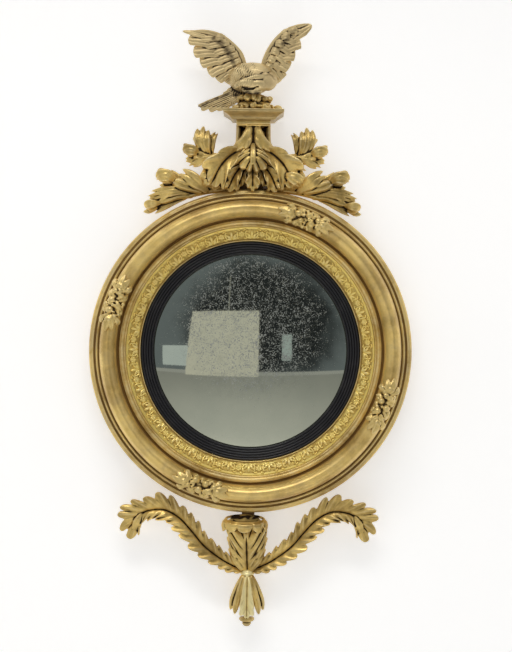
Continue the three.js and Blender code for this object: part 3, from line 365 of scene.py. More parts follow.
def finished(name, mesh, material, nodes):
    """Makes the piece, smooth shaded, riding the root body and standing for its CAD nodes."""
    mesh.name = name
    mesh.materials.clear()
    mesh.materials.append(material)
    mesh.polygons.foreach_set("use_smooth", np.ones(len(mesh.polygons), bool))
    piece = added(name, mesh)
    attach(piece, ROOT)
    if nodes:
        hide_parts(*nodes)


def evaluated(obj):
    graph = bpy.context.evaluated_depsgraph_get()
    return bpy.data.meshes.new_from_object(obj.evaluated_get(graph))


def carve(name, parts, material, slot, nodes, grain=1.0, soften=2, detail=None, broad=22, dark_lines=()):
    """Unites overlapping lobes into one skin, softens it as gesso does, and stores its hollows and ridges for
    dirt and painted shade, wear and painted highlight.
    """
    rough = added("rough", mesh_of(parts))
    remesh = rough.modifiers.new("unite", "REMESH")
    remesh.mode = "VOXEL"
    remesh.voxel_size = grain
    mesh = evaluated(rough)
    source = rough.data
    bpy.data.objects.remove(rough)
    bpy.data.meshes.remove(source)
    points = averaged(places(mesh), edges_of(mesh), soften)
    set_places(mesh, points)
    if detail:
        points = detail(points, normals_of(mesh))
        set_places(mesh, points)
    store_hollows_and_ridges(mesh, points, broad=broad, dark_lines=dark_lines)
    set_places(mesh, points * MM)
    finished(name, mesh, material, nodes)


def near_line(points, line):
    """Distance in the x, z plane from each point to a polyline of (x, z) pairs."""
    best = np.full(len(points), 1e9)
    flat = points[:, [0, 2]]
    for a, b in zip(line[:-1], line[1:]):
        a, b = np.array(a, float), np.array(b, float)
        t = np.clip((flat - a) @ (b - a) / max((b - a) @ (b - a), 1e-9), 0, 1)
        best = np.minimum(best, np.linalg.norm(flat - a - t[:, None] * (b - a), axis=1))
    return best


# ---------------------------------------------------------------- finishes


def feed(tree, target, inputs):
    """Gives a node's inputs their values, or joins them to the sockets that feed them."""
    for key, value in inputs.items():
        socket = target.inputs[key]
        if isinstance(value, bpy.types.NodeSocket):
            tree.links.new(value, socket)
        else:
            socket.default_value = value


def node(tree, kind, inputs=None, **settings):
    """A node with its settings and its inputs."""
    made = tree.nodes.new(kind)
    for key, value in settings.items():
        setattr(made, key, value)
    feed(tree, made, inputs or {})
    return made


def blend(tree, share, first, second):
    """A colour mix, its share and colours given as values or sockets."""
    return node(tree, "ShaderNodeMix", {0: share, 6: first, 7: second}, data_type="RGBA").outputs[2]


def ramp(tree, value, low, high):
    """0 below low, 1 above high, smooth between."""
    inputs = {"Value": value, "From Min": low, "From Max": high}
    return node(tree, "ShaderNodeMapRange", inputs, interpolation_type="SMOOTHSTEP").outputs["Result"]


def maths(tree, operation, first, second):
    return node(tree, "ShaderNodeMath", {0: first, 1: second}, operation=operation).outputs[0]


def times(tree, first, second):
    return maths(tree, "MULTIPLY", first, second)


def plus(tree, first, second):
    return maths(tree, "ADD", first, second)


def noise(tree, vector, scale, detail, roughness=0.6, distortion=0.0):
    shape = {"Scale": scale, "Detail": detail, "Roughness": roughness, "Distortion": distortion}
    return node(tree, "ShaderNodeTexNoise", {"Vector": vector, **shape}).outputs["Fac"]


def object_place(tree):
    """The shaded point in the object's own frame."""
    return node(tree, "ShaderNodeTexCoord").outputs["Object"]


def length_of(tree, vector):
    return node(tree, "ShaderNodeVectorMath", {0: vector}, operation="LENGTH").outputs["Value"]


def stored(tree, name):
    """A measure stored on the mesh by store()."""
    return node(tree, "ShaderNodeAttribute", attribute_name=name).outputs["Fac"]


def group(name, inputs, outputs):
    """An empty shader group with named sockets, each given as (name, kind, default)."""
    tree = bpy.data.node_groups.new(name, "ShaderNodeTree")
    for label, kind, default in inputs:
        tree.interface.new_socket(label, in_out="INPUT", socket_type=kind).default_value = default
    for label, kind in outputs:
        tree.interface.new_socket(label, in_out="OUTPUT", socket_type=kind)
    return tree, node(tree, "NodeGroupInput"), node(tree, "NodeGroupOutput")


COLOUR, NUMBER = "NodeSocketColor", "NodeSocketFloat"


def aged_leaf_group():
    """Gold leaf over bole and gesso: dirt and painted shade in the hollows, rubbing and a painted highlight
    on the ridges, toning in between.
    """
    tree, given, out = group(
        "Aged leaf",
        [
            ("Bright", COLOUR, (0.8, 0.6, 0.24, 1)),
            ("Toned", COLOUR, (0.5, 0.35, 0.13, 1)),
            ("Shade and dirt", COLOUR, (0.07, 0.045, 0.025, 1)),
            ("Shade and dirt amount", NUMBER, 1.0),
            ("Rubbing and highlight", NUMBER, 0.5),
            ("Toning", NUMBER, 0.5),
        ],
        [("Color", COLOUR), ("Roughness", NUMBER), ("Height", NUMBER)],
    )
    give = given.outputs
    coords = object_place(tree)
    hollow = stored(tree, "hollow")
    ridge = stored(tree, "ridge")
    cloud = noise(tree, coords, 14, 5, 0.62)
    patch = noise(tree, coords, 46, 6, 0.65, 0.4)
    speck = noise(tree, coords, 260, 4, 0.7)
    toning = times(tree, ramp(tree, cloud, 0.36, 0.66), give["Toning"])
    colour = blend(tree, toning, give["Bright"], give["Toned"])
    colour = blend(tree, times(tree, ramp(tree, patch, 0.5, 0.75), 0.35), colour, give["Toned"])
    # Ridges lighten towards pale gold where the patches allow: rubbed leaf, and a painted highlight.
    rubbed_and_lit = times(tree, times(tree, ridge, ramp(tree, patch, 0.3, 0.7)), give["Rubbing and highlight"])
    colour = blend(tree, rubbed_and_lit, colour, (1.0, 0.83, 0.45, 1))
    # Hollows and dull patches darken towards the dark colour: real dirt, and painted shade in the recesses.
    sunk = plus(tree, hollow, times(tree, maths(tree, "SUBTRACT", patch, 0.5), 0.5))
    shade_and_dirt = times(tree, ramp(tree, sunk, 0.02, 0.6), give["Shade and dirt amount"])
    shade_and_dirt = maths(tree, "MINIMUM", shade_and_dirt, 1.0)
    colour = blend(tree, shade_and_dirt, colour, give["Shade and dirt"])
    fleck = times(tree, ramp(tree, speck, 0.62, 0.72), 0.3)
    colour = blend(tree, fleck, colour, give["Shade and dirt"])
    rough = plus(tree, 0.3, times(tree, shade_and_dirt, 0.35))
    rough = plus(tree, rough, times(tree, patch, 0.14))
    height = plus(tree, times(tree, speck, 0.3), patch)
    feed(tree, out, {"Color": colour, "Roughness": rough, "Height": height})
    return tree


def blank_material(name):
    made = bpy.data.materials.new(name)
    made.use_nodes = True
    made.node_tree.nodes.clear()
    return made, made.node_tree


def material(name):
    """A material whose principled shader feeds its output."""
    made, tree = blank_material(name)
    shader = node(tree, "ShaderNodeBsdfPrincipled")
    node(tree, "ShaderNodeOutputMaterial", {0: shader.outputs[0]})
    return made, tree, shader


def bumped(tree, shader, height, strength, distance):
    bump = node(tree, "ShaderNodeBump", {"Height": height, "Strength": strength, "Distance": distance})
    feed(tree, shader, {"Normal": bump.outputs[0]})


AGED_LEAF = aged_leaf_group()


def gilding(name, bright, toned, shade_and_dirt, metallic, shade_and_dirt_amount=1.0, rubbing_and_highlight=0.5, toning=0.5):
    made, tree, shader = material(name)
    leaf = node(tree, "ShaderNodeGroup", node_tree=AGED_LEAF)
    feed(tree, leaf, {"Bright": (*bright, 1), "Toned": (*toned, 1), "Shade and dirt": (*shade_and_dirt, 1)})
    feed(tree, leaf, {"Shade and dirt amount": shade_and_dirt_amount, "Rubbing and highlight": rubbing_and_highlight, "Toning": toning})
    coat, rough, height = leaf.outputs
    feed(tree, shader, {"Base Color": coat, "Roughness": rough, "Metallic": metallic})
    bumped(tree, shader, height, 0.25, 0.0006)
    return made


RING_GILT = gilding(
    "ring gilding", (0.97, 0.7, 0.23), (0.5, 0.32, 0.09), (0.24, 0.135, 0.035),
    metallic=0.6, shade_and_dirt_amount=1.0, rubbing_and_highlight=0.7, toning=0.9,
)
CARVED_GILT = gilding(
    "carved gilding", (0.95, 0.69, 0.23), (0.4, 0.26, 0.075), (0.035, 0.018, 0.006),
    metallic=0.68, shade_and_dirt_amount=1.35, rubbing_and_highlight=1.0, toning=0.9,
)
# A darker copy of the gilding for the plinth: painted shade.
SHADED_GILT = gilding(
    "shaded gilding", (0.62, 0.46, 0.2), (0.36, 0.26, 0.11), (0.035, 0.022, 0.01),
    metallic=0.6, shade_and_dirt_amount=1.2, rubbing_and_highlight=0.8, toning=0.9,
)
CLUSTER_GILT = gilding(
    "cluster gilding", (0.9, 0.67, 0.25), (0.6, 0.43, 0.15), (0.06, 0.035, 0.012),
    metallic=0.65, shade_and_dirt_amount=1.1, rubbing_and_highlight=0.9, toning=0.6,
)
WORN_GILT = gilding(
    "worn gilding", (0.84, 0.65, 0.33), (0.54, 0.4, 0.2), (0.05, 0.032, 0.02),
    metallic=0.5, shade_and_dirt_amount=1.25, rubbing_and_highlight=0.8, toning=0.7,
)
BAND_GILT = gilding("band gilding", (1.0, 0.8, 0.25), (0.95, 0.69, 0.17), (0.32, 0.18, 0.035), metallic=0.55)
# A paler copy of the gilding for the pendant's middle leaf: a painted highlight.
LIT_GILT = gilding("lit gilding", (1.0, 0.9, 0.5), (0.98, 0.8, 0.34), (0.4, 0.27, 0.09), metallic=0.45)


def ebonising():
    made, tree, shader = material("ebonised lacquer")
    coords = object_place(tree)
    ridge = stored(tree, "ridge")
    patch = noise(tree, coords, 40, 5)
    dust = noise(tree, coords, 420, 3, 0.7)
    worn = times(tree, ridge, ramp(tree, patch, 0.45, 0.75))
    colour = blend(tree, times(tree, worn, 0.5), (0.008, 0.008, 0.012, 1), (0.05, 0.045, 0.05, 1))
    colour = blend(tree, times(tree, ramp(tree, dust, 0.6, 0.75), 0.12), colour, (0.2, 0.2, 0.22, 1))
    rough = plus(tree, 0.2, times(tree, patch, 0.25))
    feed(tree, shader, {"Base Color": colour, "Roughness": rough})
    bumped(tree, shader, patch, 0.08, 0.0005)
    return made


def foxed_glass():
    """Old silvering: a grey mirror, its upper part peppered with pale specks of tarnish."""
    made, tree, shader = material("foxed silvering")
    coords = object_place(tree)
    centred = node(tree, "ShaderNodeMapping", {"Vector": coords, "Location": (-0.003, 0, -0.05)})
    reach = length_of(tree, centred.outputs[0])
    drift = noise(tree, coords, 16, 5, 0.6)
    clump = noise(tree, coords, 120, 5, 0.65, 0.3)
    speck = noise(tree, coords, 410, 4, 0.68)
    edge = plus(tree, reach, times(tree, drift, 0.06))
    zone = maths(tree, "SUBTRACT", 1.0, ramp(tree, edge, 0.14, 0.21))
    amount = plus(tree, times(tree, zone, 0.1), times(tree, clump, 0.3))
    amount = ramp(tree, plus(tree, amount, times(tree, speck, 0.7)), 0.605, 0.7)
    lost = times(tree, ramp(tree, noise(tree, coords, 75, 6, 0.7), 0.5, 0.6), zone)
    silver = blend(tree, drift, (0.4, 0.43, 0.36, 1), (0.5, 0.52, 0.43, 1))
    silver = blend(tree, times(tree, lost, 0.12), silver, (0.1, 0.115, 0.12, 1))
    colour = blend(tree, amount, silver, (0.3, 0.32, 0.31, 1))
    metallic = maths(tree, "SUBTRACT", 1.0, times(tree, amount, 0.9))
    rough = plus(tree, 0.03, times(tree, amount, 0.3))
    feed(tree, shader, {"Base Color": colour, "Metallic": metallic, "Roughness": rough})
    return made


def pine_wood(name, base, dark):
    made, tree, shader = material(name)
    coords = object_place(tree)
    along = node(tree, "ShaderNodeMapping", {"Vector": coords, "Scale": (2.0, 30.0, 30.0)}).outputs[0]
    grain = noise(tree, along, 6, 6, 0.65, 0.8)
    fine = noise(tree, along, 30, 4, 0.6)
    darkening = noise(tree, coords, 9, 5, 0.6)
    colour = blend(tree, ramp(tree, grain, 0.35, 0.65), (*base, 1), (*dark, 1))
    colour = blend(tree, times(tree, ramp(tree, darkening, 0.5, 0.8), 0.5), colour, (*[c * 0.5 for c in dark], 1))
    feed(tree, shader, {"Base Color": colour, "Roughness": 0.75})
    bumped(tree, shader, fine, 0.3, 0.0005)
    return made


def old_metal(name, base, tarnish, rough):
    made, tree, shader = material(name)
    coords = object_place(tree)
    patch = noise(tree, coords, 120, 6, 0.65)
    pits = noise(tree, coords, 500, 3, 0.7)
    colour = blend(tree, ramp(tree, patch, 0.4, 0.65), (*base, 1), (*tarnish, 1))
    rough = plus(tree, rough, times(tree, patch, 0.25))
    feed(tree, shader, {"Base Color": colour, "Roughness": rough, "Metallic": 0.9})
    bumped(tree, shader, pits, 0.3, 0.0003)
    return made


EBONY = ebonising()
GLASS = foxed_glass()
PINE = pine_wood("aged pine", (0.42, 0.29, 0.16), (0.22, 0.13, 0.065))
BOLE = pine_wood("toned board edge", (0.3, 0.2, 0.09), (0.12, 0.075, 0.035))
IRON = old_metal("forged iron", (0.09, 0.085, 0.08), (0.1, 0.055, 0.03), 0.5)
BRASS = old_metal("aged brass", (0.42, 0.31, 0.13), (0.16, 0.11, 0.05), 0.35)

# ---------------------------------------------------------------- turned members


def arc(r, h, radius_r, radius_h, start, end, steps):
    angle = np.radians(np.linspace(start, end, steps + 1))
    return [(r + radius_r * math.cos(a), h + radius_h * math.sin(a)) for a in angle]


def even_profile(profile, step):
    """A closed profile with points no further apart than a step."""
    out = []
    for (r0, h0), (r1, h1) in zip(profile, profile[1:] + profile[:1]):
        count = max(int(math.hypot(r1 - r0, h1 - h0) / step), 1)
        out += [(r0 + (r1 - r0) * i / count, h0 + (h1 - h0) * i / count) for i in range(count)]
    return np.array(out)


def turned_mesh(profile, segments, step):
    """A closed profile of (radius, height) pairs turned about the frame's axis, its hollows stored for dirt
    and painted shade, its ridges for wear and painted highlight.

    The profile is cut into steps of the given length, in millimetres.
    """
    line = even_profile(profile, step)
    count = len(line)
    turn = circle(segments)
    x, z = np.outer(np.cos(turn), line[:, 0]), np.outer(np.sin(turn), line[:, 0])
    rings = np.stack([x, np.broadcast_to(-line[:, 1], (segments, count)), z], axis=-1)
    faces = []
    for i in range(segments):
        here, there = i * count, ((i + 1) % segments) * count
        for j in range(count):
            k = (j + 1) % count
            faces.append((here + j, there + j, there + k, here + k))
    mesh = bpy.data.meshes.new("turned")
    mesh.from_pydata((rings.reshape(-1, 3) * MM).tolist(), [], faces)
    smooth = [line]
    for _ in range(int(90 / step)):
        smooth.append((np.roll(smooth[-1], 1, 0) + smooth[-1] + np.roll(smooth[-1], -1, 0)) / 3)
    tangent = unit(np.roll(line, -1, 0) - np.roll(line, 1, 0))
    outward = np.stack([tangent[:, 1], -tangent[:, 0]], axis=1)
    area = 0.5 * np.sum(line[:, 0] * np.roll(line[:, 1], -1) - np.roll(line[:, 0], -1) * line[:, 1])
    outward *= 1 if area > 0 else -1
    near = np.einsum("ij,ij->i", smooth[12] - line, outward) / 1.6
    wide = np.einsum("ij,ij->i", smooth[-1] - line, outward) / 4.5
    hollow = np.maximum(np.clip(near, 0, 0.8), np.clip(wide, 0, 1))
    ridge = np.einsum("ij,ij->i", line - smooth[3], outward) / 0.35
    # The strip just inside the inner bead is lightened, as burnished leaf and as a painted highlight, and the
    # back face is darkened.
    burnish_and_highlight = np.clip((BEAD_MIDDLE + BEAD_RADIUS + 2 - line[:, 0]) / 2, 0, 1) * (line[:, 1] > LIP_HEIGHT)
    hollow = np.maximum(hollow * (1 - 0.5 * burnish_and_highlight), 0.5 * (line[:, 1] < 2))
    ridge = np.maximum(ridge, burnish_and_highlight * 1.2)
    store(mesh, "hollow", np.tile(hollow, segments))
    store(mesh, "ridge", np.tile(ridge, segments))
    if area < 0:
        mesh.flip_normals()
    return mesh


def frame_profile():
    cove_foot = OUTER_BEAD_HEIGHT + 10.5
    cove_top = cove_foot + 13.5
    bead_height = TORUS_FOOT - 5
    band_top = LIP_HEIGHT + BAND_RISE
    back_rebate = SLIP_RADIUS + 9
    return [
        (COVE_FOOT - 1.5, 0),
        (COVE_FOOT - 1, OUTER_BEAD_HEIGHT - 8),
        *arc(COVE_FOOT, OUTER_BEAD_HEIGHT, 8, 8, -90, 75, 18),
        (COVE_FOOT + 0.5, OUTER_BEAD_HEIGHT + 7.2),
        *arc(COVE_FOOT - 0.6, cove_foot - 0.6, 2, 2, -60, 120, 8),
        *arc(COVE_FOOT - 1, cove_top, 8.2, 13.5, -100, -180, 12),
        *arc(COVE_FOOT - 9.0, cove_top + 1.6, 1.7, 1.7, -70, 90, 8),
        (TORUS_MIDDLE + TORUS_HALF + 2.6, cove_top + 3),
        (TORUS_MIDDLE + TORUS_HALF + 1.2, cove_top + 1.4),
        *arc(TORUS_MIDDLE, TORUS_FOOT, TORUS_HALF, TORUS_RISE, 0, 180, 44),
        *arc(BEAD_MIDDLE + BEAD_RADIUS + 3.6, TORUS_FOOT - 1.5, 2.7, 4.6, -10, -170, 10),
        *arc(BEAD_MIDDLE, bead_height, BEAD_RADIUS, BEAD_RADIUS, 30, 165, 12),
        (BAND_OUTER + 3.6, bead_height - 0.4),
        *arc(BAND_OUTER + 1.6, bead_height - 2.2, 1.5, 1.5, 20, 160, 6),
        (BAND_OUTER, bead_height - 3),
        (BAND_OUTER, band_top),
        (BAND_INNER, LIP_HEIGHT),
        (BAND_INNER, LIP_HEIGHT + 3.5),
        *arc(BAND_INNER - 1, LIP_HEIGHT + 3.5, 1, 1, 0, 180, 6),
        (SLIP_RADIUS, LIP_HEIGHT - 6),
        (back_rebate, LIP_HEIGHT - 6),
        (back_rebate, 10),
        (back_rebate + 20, 10),
        (back_rebate + 20, 0),
    ]


def slip_profile():
    outer = SLIP_RADIUS - 0.4
    flange = SLIP_RADIUS + 8.4
    sight = GLASS_EDGE_HEIGHT + 1.8
    reeds = 5
    back = 17
    points = [
        (flange, back), (flange, LIP_HEIGHT - 6.4), (outer, LIP_HEIGHT - 6.4), (outer, LIP_HEIGHT - 2.6),
    ]
    width = (outer - SIGHT_RADIUS) / reeds
    for i in range(reeds):
        middle = outer - width * (i + 0.5)
        level = LIP_HEIGHT - 2.6 + (sight - LIP_HEIGHT + 2.6) * (i + 0.5) / reeds
        points += arc(middle, level, width * 0.5, 2.3, 8, 172, 9)
    rebate = SIGHT_RADIUS + 9
    points += [(SIGHT_RADIUS, GLASS_EDGE_HEIGHT + 0.3), (rebate, GLASS_EDGE_HEIGHT - 1.6), (rebate, back)]
    return points


def glass_front(r):
    """How high the glass stands at a radius, as a cap of its sphere over the sight edge."""
    edge = math.sqrt(GLASS_SPHERE**2 - SIGHT_RADIUS**2)
    return GLASS_EDGE_HEIGHT + math.sqrt(GLASS_SPHERE**2 - r**2) - edge


def glass_profile():
    """The bulging front from the axis to the edge in its rebate, and the back behind it."""
    thickness = 3
    front = [(r, glass_front(r)) for r in np.linspace(0.05, SIGHT_RADIUS + 8.5, 40)]
    return front[::-1] + [(r, h - thickness) for r, h in front]


finished("gilt_ring", turned_mesh(frame_profile(), 300, 1.1), RING_GILT, ["frame_ring"])
finished("reeded_slip", turned_mesh(slip_profile(), 320, 1.0), EBONY, ["ebonised_slip"])
finished("convex_glass", turned_mesh(glass_profile(), 192, 1.6), GLASS, ["mirror_plate"])

# ---------------------------------------------------------------- foliate band


def band_bed(r):
    """Height of the sloping bed the band lies on."""
    return LIP_HEIGHT + 0.3 + BAND_RISE * (r - BAND_INNER) / (BAND_OUTER - BAND_INNER)


def on_band(parts):
    """Parts drawn flat as (out from the band's inner edge, along, rise), laid on the band's bed."""
    laid = []
    for verts, faces in parts:
        r = BAND_INNER + 0.5 + verts[:, 0] * 0.84
        h = band_bed(r) + BAND_THICKNESS * 0.5 + verts[:, 2]
        laid.append((np.stack([r, -h, verts[:, 1]], axis=1), faces))
    return laid


def motif():
    """One repeat of the band: a five-lobed leaf, a flower, and tendrils that tie them."""
    shape = dict(depth=2.7, back=2.0, groove=0.35, fine=0.42, lie=UP)
    flower_out, flower_along = 12, 19.3
    parts = []
    for turn, length in ((-1.15, 9), (-0.6, 14), (0, 19), (0.6, 14), (1.15, 9)):
        out, along = math.cos(turn) * length, math.sin(turn) * length
        path = [(3, 0, 0.5), (3 + out * 0.5, along * 0.62, 2.2), (3 + out, along, 0.8)]
        parts.append(lobe(path, [1.5, 3.0, 1.9], **shape))
    petals, petal_length = 6, 6.2
    for k in range(petals):
        turn = 2 * math.pi * k / petals
        out, along = math.cos(turn) * petal_length, math.sin(turn) * petal_length
        path = [
            (flower_out + out * share, flower_along + along * share, rise)
            for share, rise in ((0, 1), (0.6, 2.2), (1, 0.9))
        ]
        parts.append(lobe(path, [1.5, 2.9, 2.0], **shape))
    parts.append(ball((flower_out, flower_along, 2.4), (2.3, 2.3, 2.3), 6))
    tendrils = (
        (0, [(3, 3, 0.8), (6, 10, 1.6), (17, 11.5, 1.6), (20, 6.5, 1)], [1.4, 1.7, 1.5, 1.8]),
        (0, [(9, 6, 0.6), (13, 9, 1.6), (15, 13, 1)], [1.2, 1.7, 1.2]),
        (flower_along, [(18, 3, 0.8), (21.5, 6, 1.2), (20.5, 10, 1)], [1.4, 1.9, 1.3]),
        (flower_along, [(5, 4, 0.8), (2.6, 7, 1.2), (3.5, 11, 1)], [1.3, 1.9, 1.3]),
    )
    for hand in (-1, 1):
        for start, line, widths in tendrils:
            path = [(out, start + hand * along, rise) for out, along, rise in line]
            parts.append(lobe(path, widths, **shape))
    return on_band(parts)


BAND_REPEATS = 36
BAND_SEED = 3


def repeat_tree():
    """Geometry Nodes: a motif repeated round the frame's axis."""
    tree = bpy.data.node_groups.new("Band repeat", "GeometryNodeTree")
    tree.interface.new_socket("Geometry", in_out="OUTPUT", socket_type="NodeSocketGeometry")
    count = tree.interface.new_socket("Count", in_out="INPUT", socket_type="NodeSocketInt")
    source = tree.interface.new_socket("Motif", in_out="INPUT", socket_type="NodeSocketObject")
    finish = tree.interface.new_socket("Finish", in_out="INPUT", socket_type="NodeSocketMaterial")
    seed = tree.interface.new_socket("Seed", in_out="INPUT", socket_type="NodeSocketInt")
    given = node(tree, "NodeGroupInput").outputs
    line = node(tree, "GeometryNodeMeshLine", {"Count": given["Count"], "Offset": (0, 0, 0)})
    index = node(tree, "GeometryNodeInputIndex").outputs[0]
    turn = times(tree, maths(tree, "DIVIDE", index, given["Count"]), 2 * math.pi)
    about = node(tree, "ShaderNodeCombineXYZ", {"Y": turn}).outputs[0]
    motif_info = node(tree, "GeometryNodeObjectInfo", {"Object": given["Motif"]})
    rise = node(tree, "FunctionNodeRandomValue", {"Seed": given["Seed"]}, data_type="FLOAT")
    rise.inputs[2].default_value = 0.995
    rise.inputs[3].default_value = 1.004
    size = node(tree, "ShaderNodeCombineXYZ", {"X": 1.0, "Y": rise.outputs[1], "Z": 1.0}).outputs[0]
    shape = motif_info.outputs["Geometry"]
    copied = {"Points": line.outputs[0], "Instance": shape, "Rotation": about, "Scale": size}
    copies = node(tree, "GeometryNodeInstanceOnPoints", copied)
    real = node(tree, "GeometryNodeRealizeInstances", {0: copies.outputs[0]})
    coated = {"Geometry": real.outputs[0], "Material": given["Finish"]}
    painted = node(tree, "GeometryNodeSetMaterial", coated)
    node(tree, "NodeGroupOutput", {0: painted.outputs[0]})
    return tree, [socket.identifier for socket in (count, source, finish, seed)]


def repeated(parts, count, finish, seed):
    """The parts repeated round the frame's axis as one mesh."""
    source = added("motif", mesh_of([(v * MM, f) for v, f in parts]))
    holder = added("holder", bpy.data.meshes.new("holder"))
    tree, sockets = repeat_tree()
    modifier = holder.modifiers.new("repeat", "NODES")
    modifier.node_group = tree
    for socket, value in zip(sockets, (count, source, finish, seed)):
        modifier[socket] = value
    mesh = evaluated(holder)
    bpy.data.objects.remove(holder)
    bpy.data.objects.remove(source)
    return mesh


def band_mesh():
    """The repeated leaves on a smooth strip, with dirt and painted shade stored by how low each point lies,
    and a painted highlight by how high.
    """
    inner, outer = BAND_INNER + 0.3, BAND_OUTER - 0.3
    strip = [(inner, band_bed(inner)), (outer, band_bed(outer))]
    for u in np.linspace(0, 1, 9):
        r = outer + (inner - outer) * u
        strip.append((r, band_bed(r) + BAND_THICKNESS * 0.5 + 0.7 * math.sin(math.pi * u)))
    base = turned_mesh(strip, 240, 1.5)
    leaves = repeated(motif(), BAND_REPEATS, BAND_GILT, BAND_SEED)
    first = places(base)
    verts = np.vstack([first, places(leaves)])
    faces = [tuple(p.vertices) for p in base.polygons]
    faces += [tuple(v + len(first) for v in p.vertices) for p in leaves.polygons]
    mesh = bpy.data.meshes.new("band")
    mesh.from_pydata(verts.tolist(), [], faces)
    radius = np.hypot(verts[:, 0], verts[:, 2]) / MM
    rise = -verts[:, 1] / MM - band_bed(radius)
    rise -= BAND_THICKNESS * 0.5
    plain = np.clip((radius - BAND_OUTER + 5) / 1.5, 0, 1)
    # Low points between the leaves darken, for dirt and painted shade; high points lighten, for wear and a
    # painted highlight.
    store(mesh, "hollow", np.clip((2.2 - rise) / 2.2, 0, 1) * 0.42 * (1 - plain))
    store(mesh, "ridge", np.clip((rise - 2.6) / 1.6, 0, 1))
    return mesh


finished("foliate_band", band_mesh(), BAND_GILT, ["ornament_band"])

# ---------------------------------------------------------------- fruit clusters on the torus


def on_torus(degrees, parts):
    """Parts drawn flat as (along the rim, across it, lift), laid over the torus."""
    laid = []
    for verts, faces in parts:
        turn = math.radians(degrees) + verts[:, 0] / TORUS_MIDDLE
        roll = verts[:, 1] / ((TORUS_HALF + TORUS_RISE) / 2)
        lean = unit(np.stack([np.sin(roll) / TORUS_HALF, np.cos(roll) / TORUS_RISE], axis=1))
        r = TORUS_MIDDLE + TORUS_HALF * np.sin(roll) + verts[:, 2] * lean[:, 0]
        h = TORUS_FOOT + TORUS_RISE * np.cos(roll) + verts[:, 2] * lean[:, 1]
        laid.append((np.stack([r * np.cos(turn), -h, r * np.sin(turn)], axis=1), faces))
    return laid


BUDS = 34


def cluster(degrees, rng):
    """Leaves that spread to both sides over a bed, with fruits and small buds heaped on them."""
    shape = dict(depth=3.6, back=3.0, groove=0.35, lie=UP, fine=0.7)
    bed = [(-50, 0, 0.5), (0, 0, 1.5), (50, 0, 0.5)]
    parts = [lobe(bed, [8, 17, 18, 17, 8], depth=2.5, back=2.5, lie=UP)]
    for hand in (-1, 1):
        for turn, length in ((-0.75, 26), (-0.3, 34), (0.2, 36), (0.65, 27)):
            root = (hand * 20, 0, 3)
            end = (hand * (20 + math.cos(turn) * length), math.sin(turn) * length * 0.75, 1.5)
            middle = ((root[0] + end[0]) / 2, (root[1] + end[1]) / 2 + 1.5, 6)
            parts.append(lobe([root, middle, end], [3.5, 6.5, 3.5], **shape))
        for side in (-1, 1):
            path = [(hand * 6, side * 4, 3), (hand * 14, side * 13, 5), (hand * 22, side * 19, 1.5)]
            parts.append(lobe(path, [4, 6.5, 3], **shape))
        for side in (-12, 3, 14):
            path = [(hand * 26, side * 0.6, 5), (hand * 33, side, 8), (hand * 41, side * 1.2, 4)]
            parts.append(lobe(path, [3, 5, 2.5], **shape))
    fruits = [
        (-14, -6, 7), (-3, 6, 7.5), (7, -7, 7), (17, 5, 7), (-22, 5, 6),
        (25, -5, 5.5), (-1, -14, 5), (8, 15, 5), (-10, 14, 4.5), (18, -13, 5),
    ]
    for along, across, radius in fruits:
        radius *= rng.uniform(0.85, 1.08)
        shell = ball((0, 0, 0), (radius, radius * 0.8, radius * 0.95), 12)
        centre = np.array([along + rng.uniform(-2, 2), across + rng.uniform(-1.5, 1.5), 4.5])
        parts.append((shell[0][:, [0, 2, 1]] + centre, shell[1]))
    for _ in range(BUDS):
        along, across = rng.uniform(-38, 38), rng.uniform(-15, 15)
        shell = ball((0, 0, 0), rng.uniform(1.8, 3.4, 3), 8)
        parts.append((shell[0] + np.array([along, across, 5 + 3 * rng.uniform()]), shell[1]))
    return on_torus(degrees, parts)


CLUSTER_ANGLES = (68, 161, 250.5, 338.5)
for number, degrees in enumerate(CLUSTER_ANGLES, 1):
    name, nodes = f"fruit_and_leaf_{number}", [f"fruit_cluster_{number}"]
    carve(name, cluster(degrees, RNG), CLUSTER_GILT, "bright_gilt", nodes, grain=0.9, soften=1, broad=14)

# ---------------------------------------------------------------- crest leaves


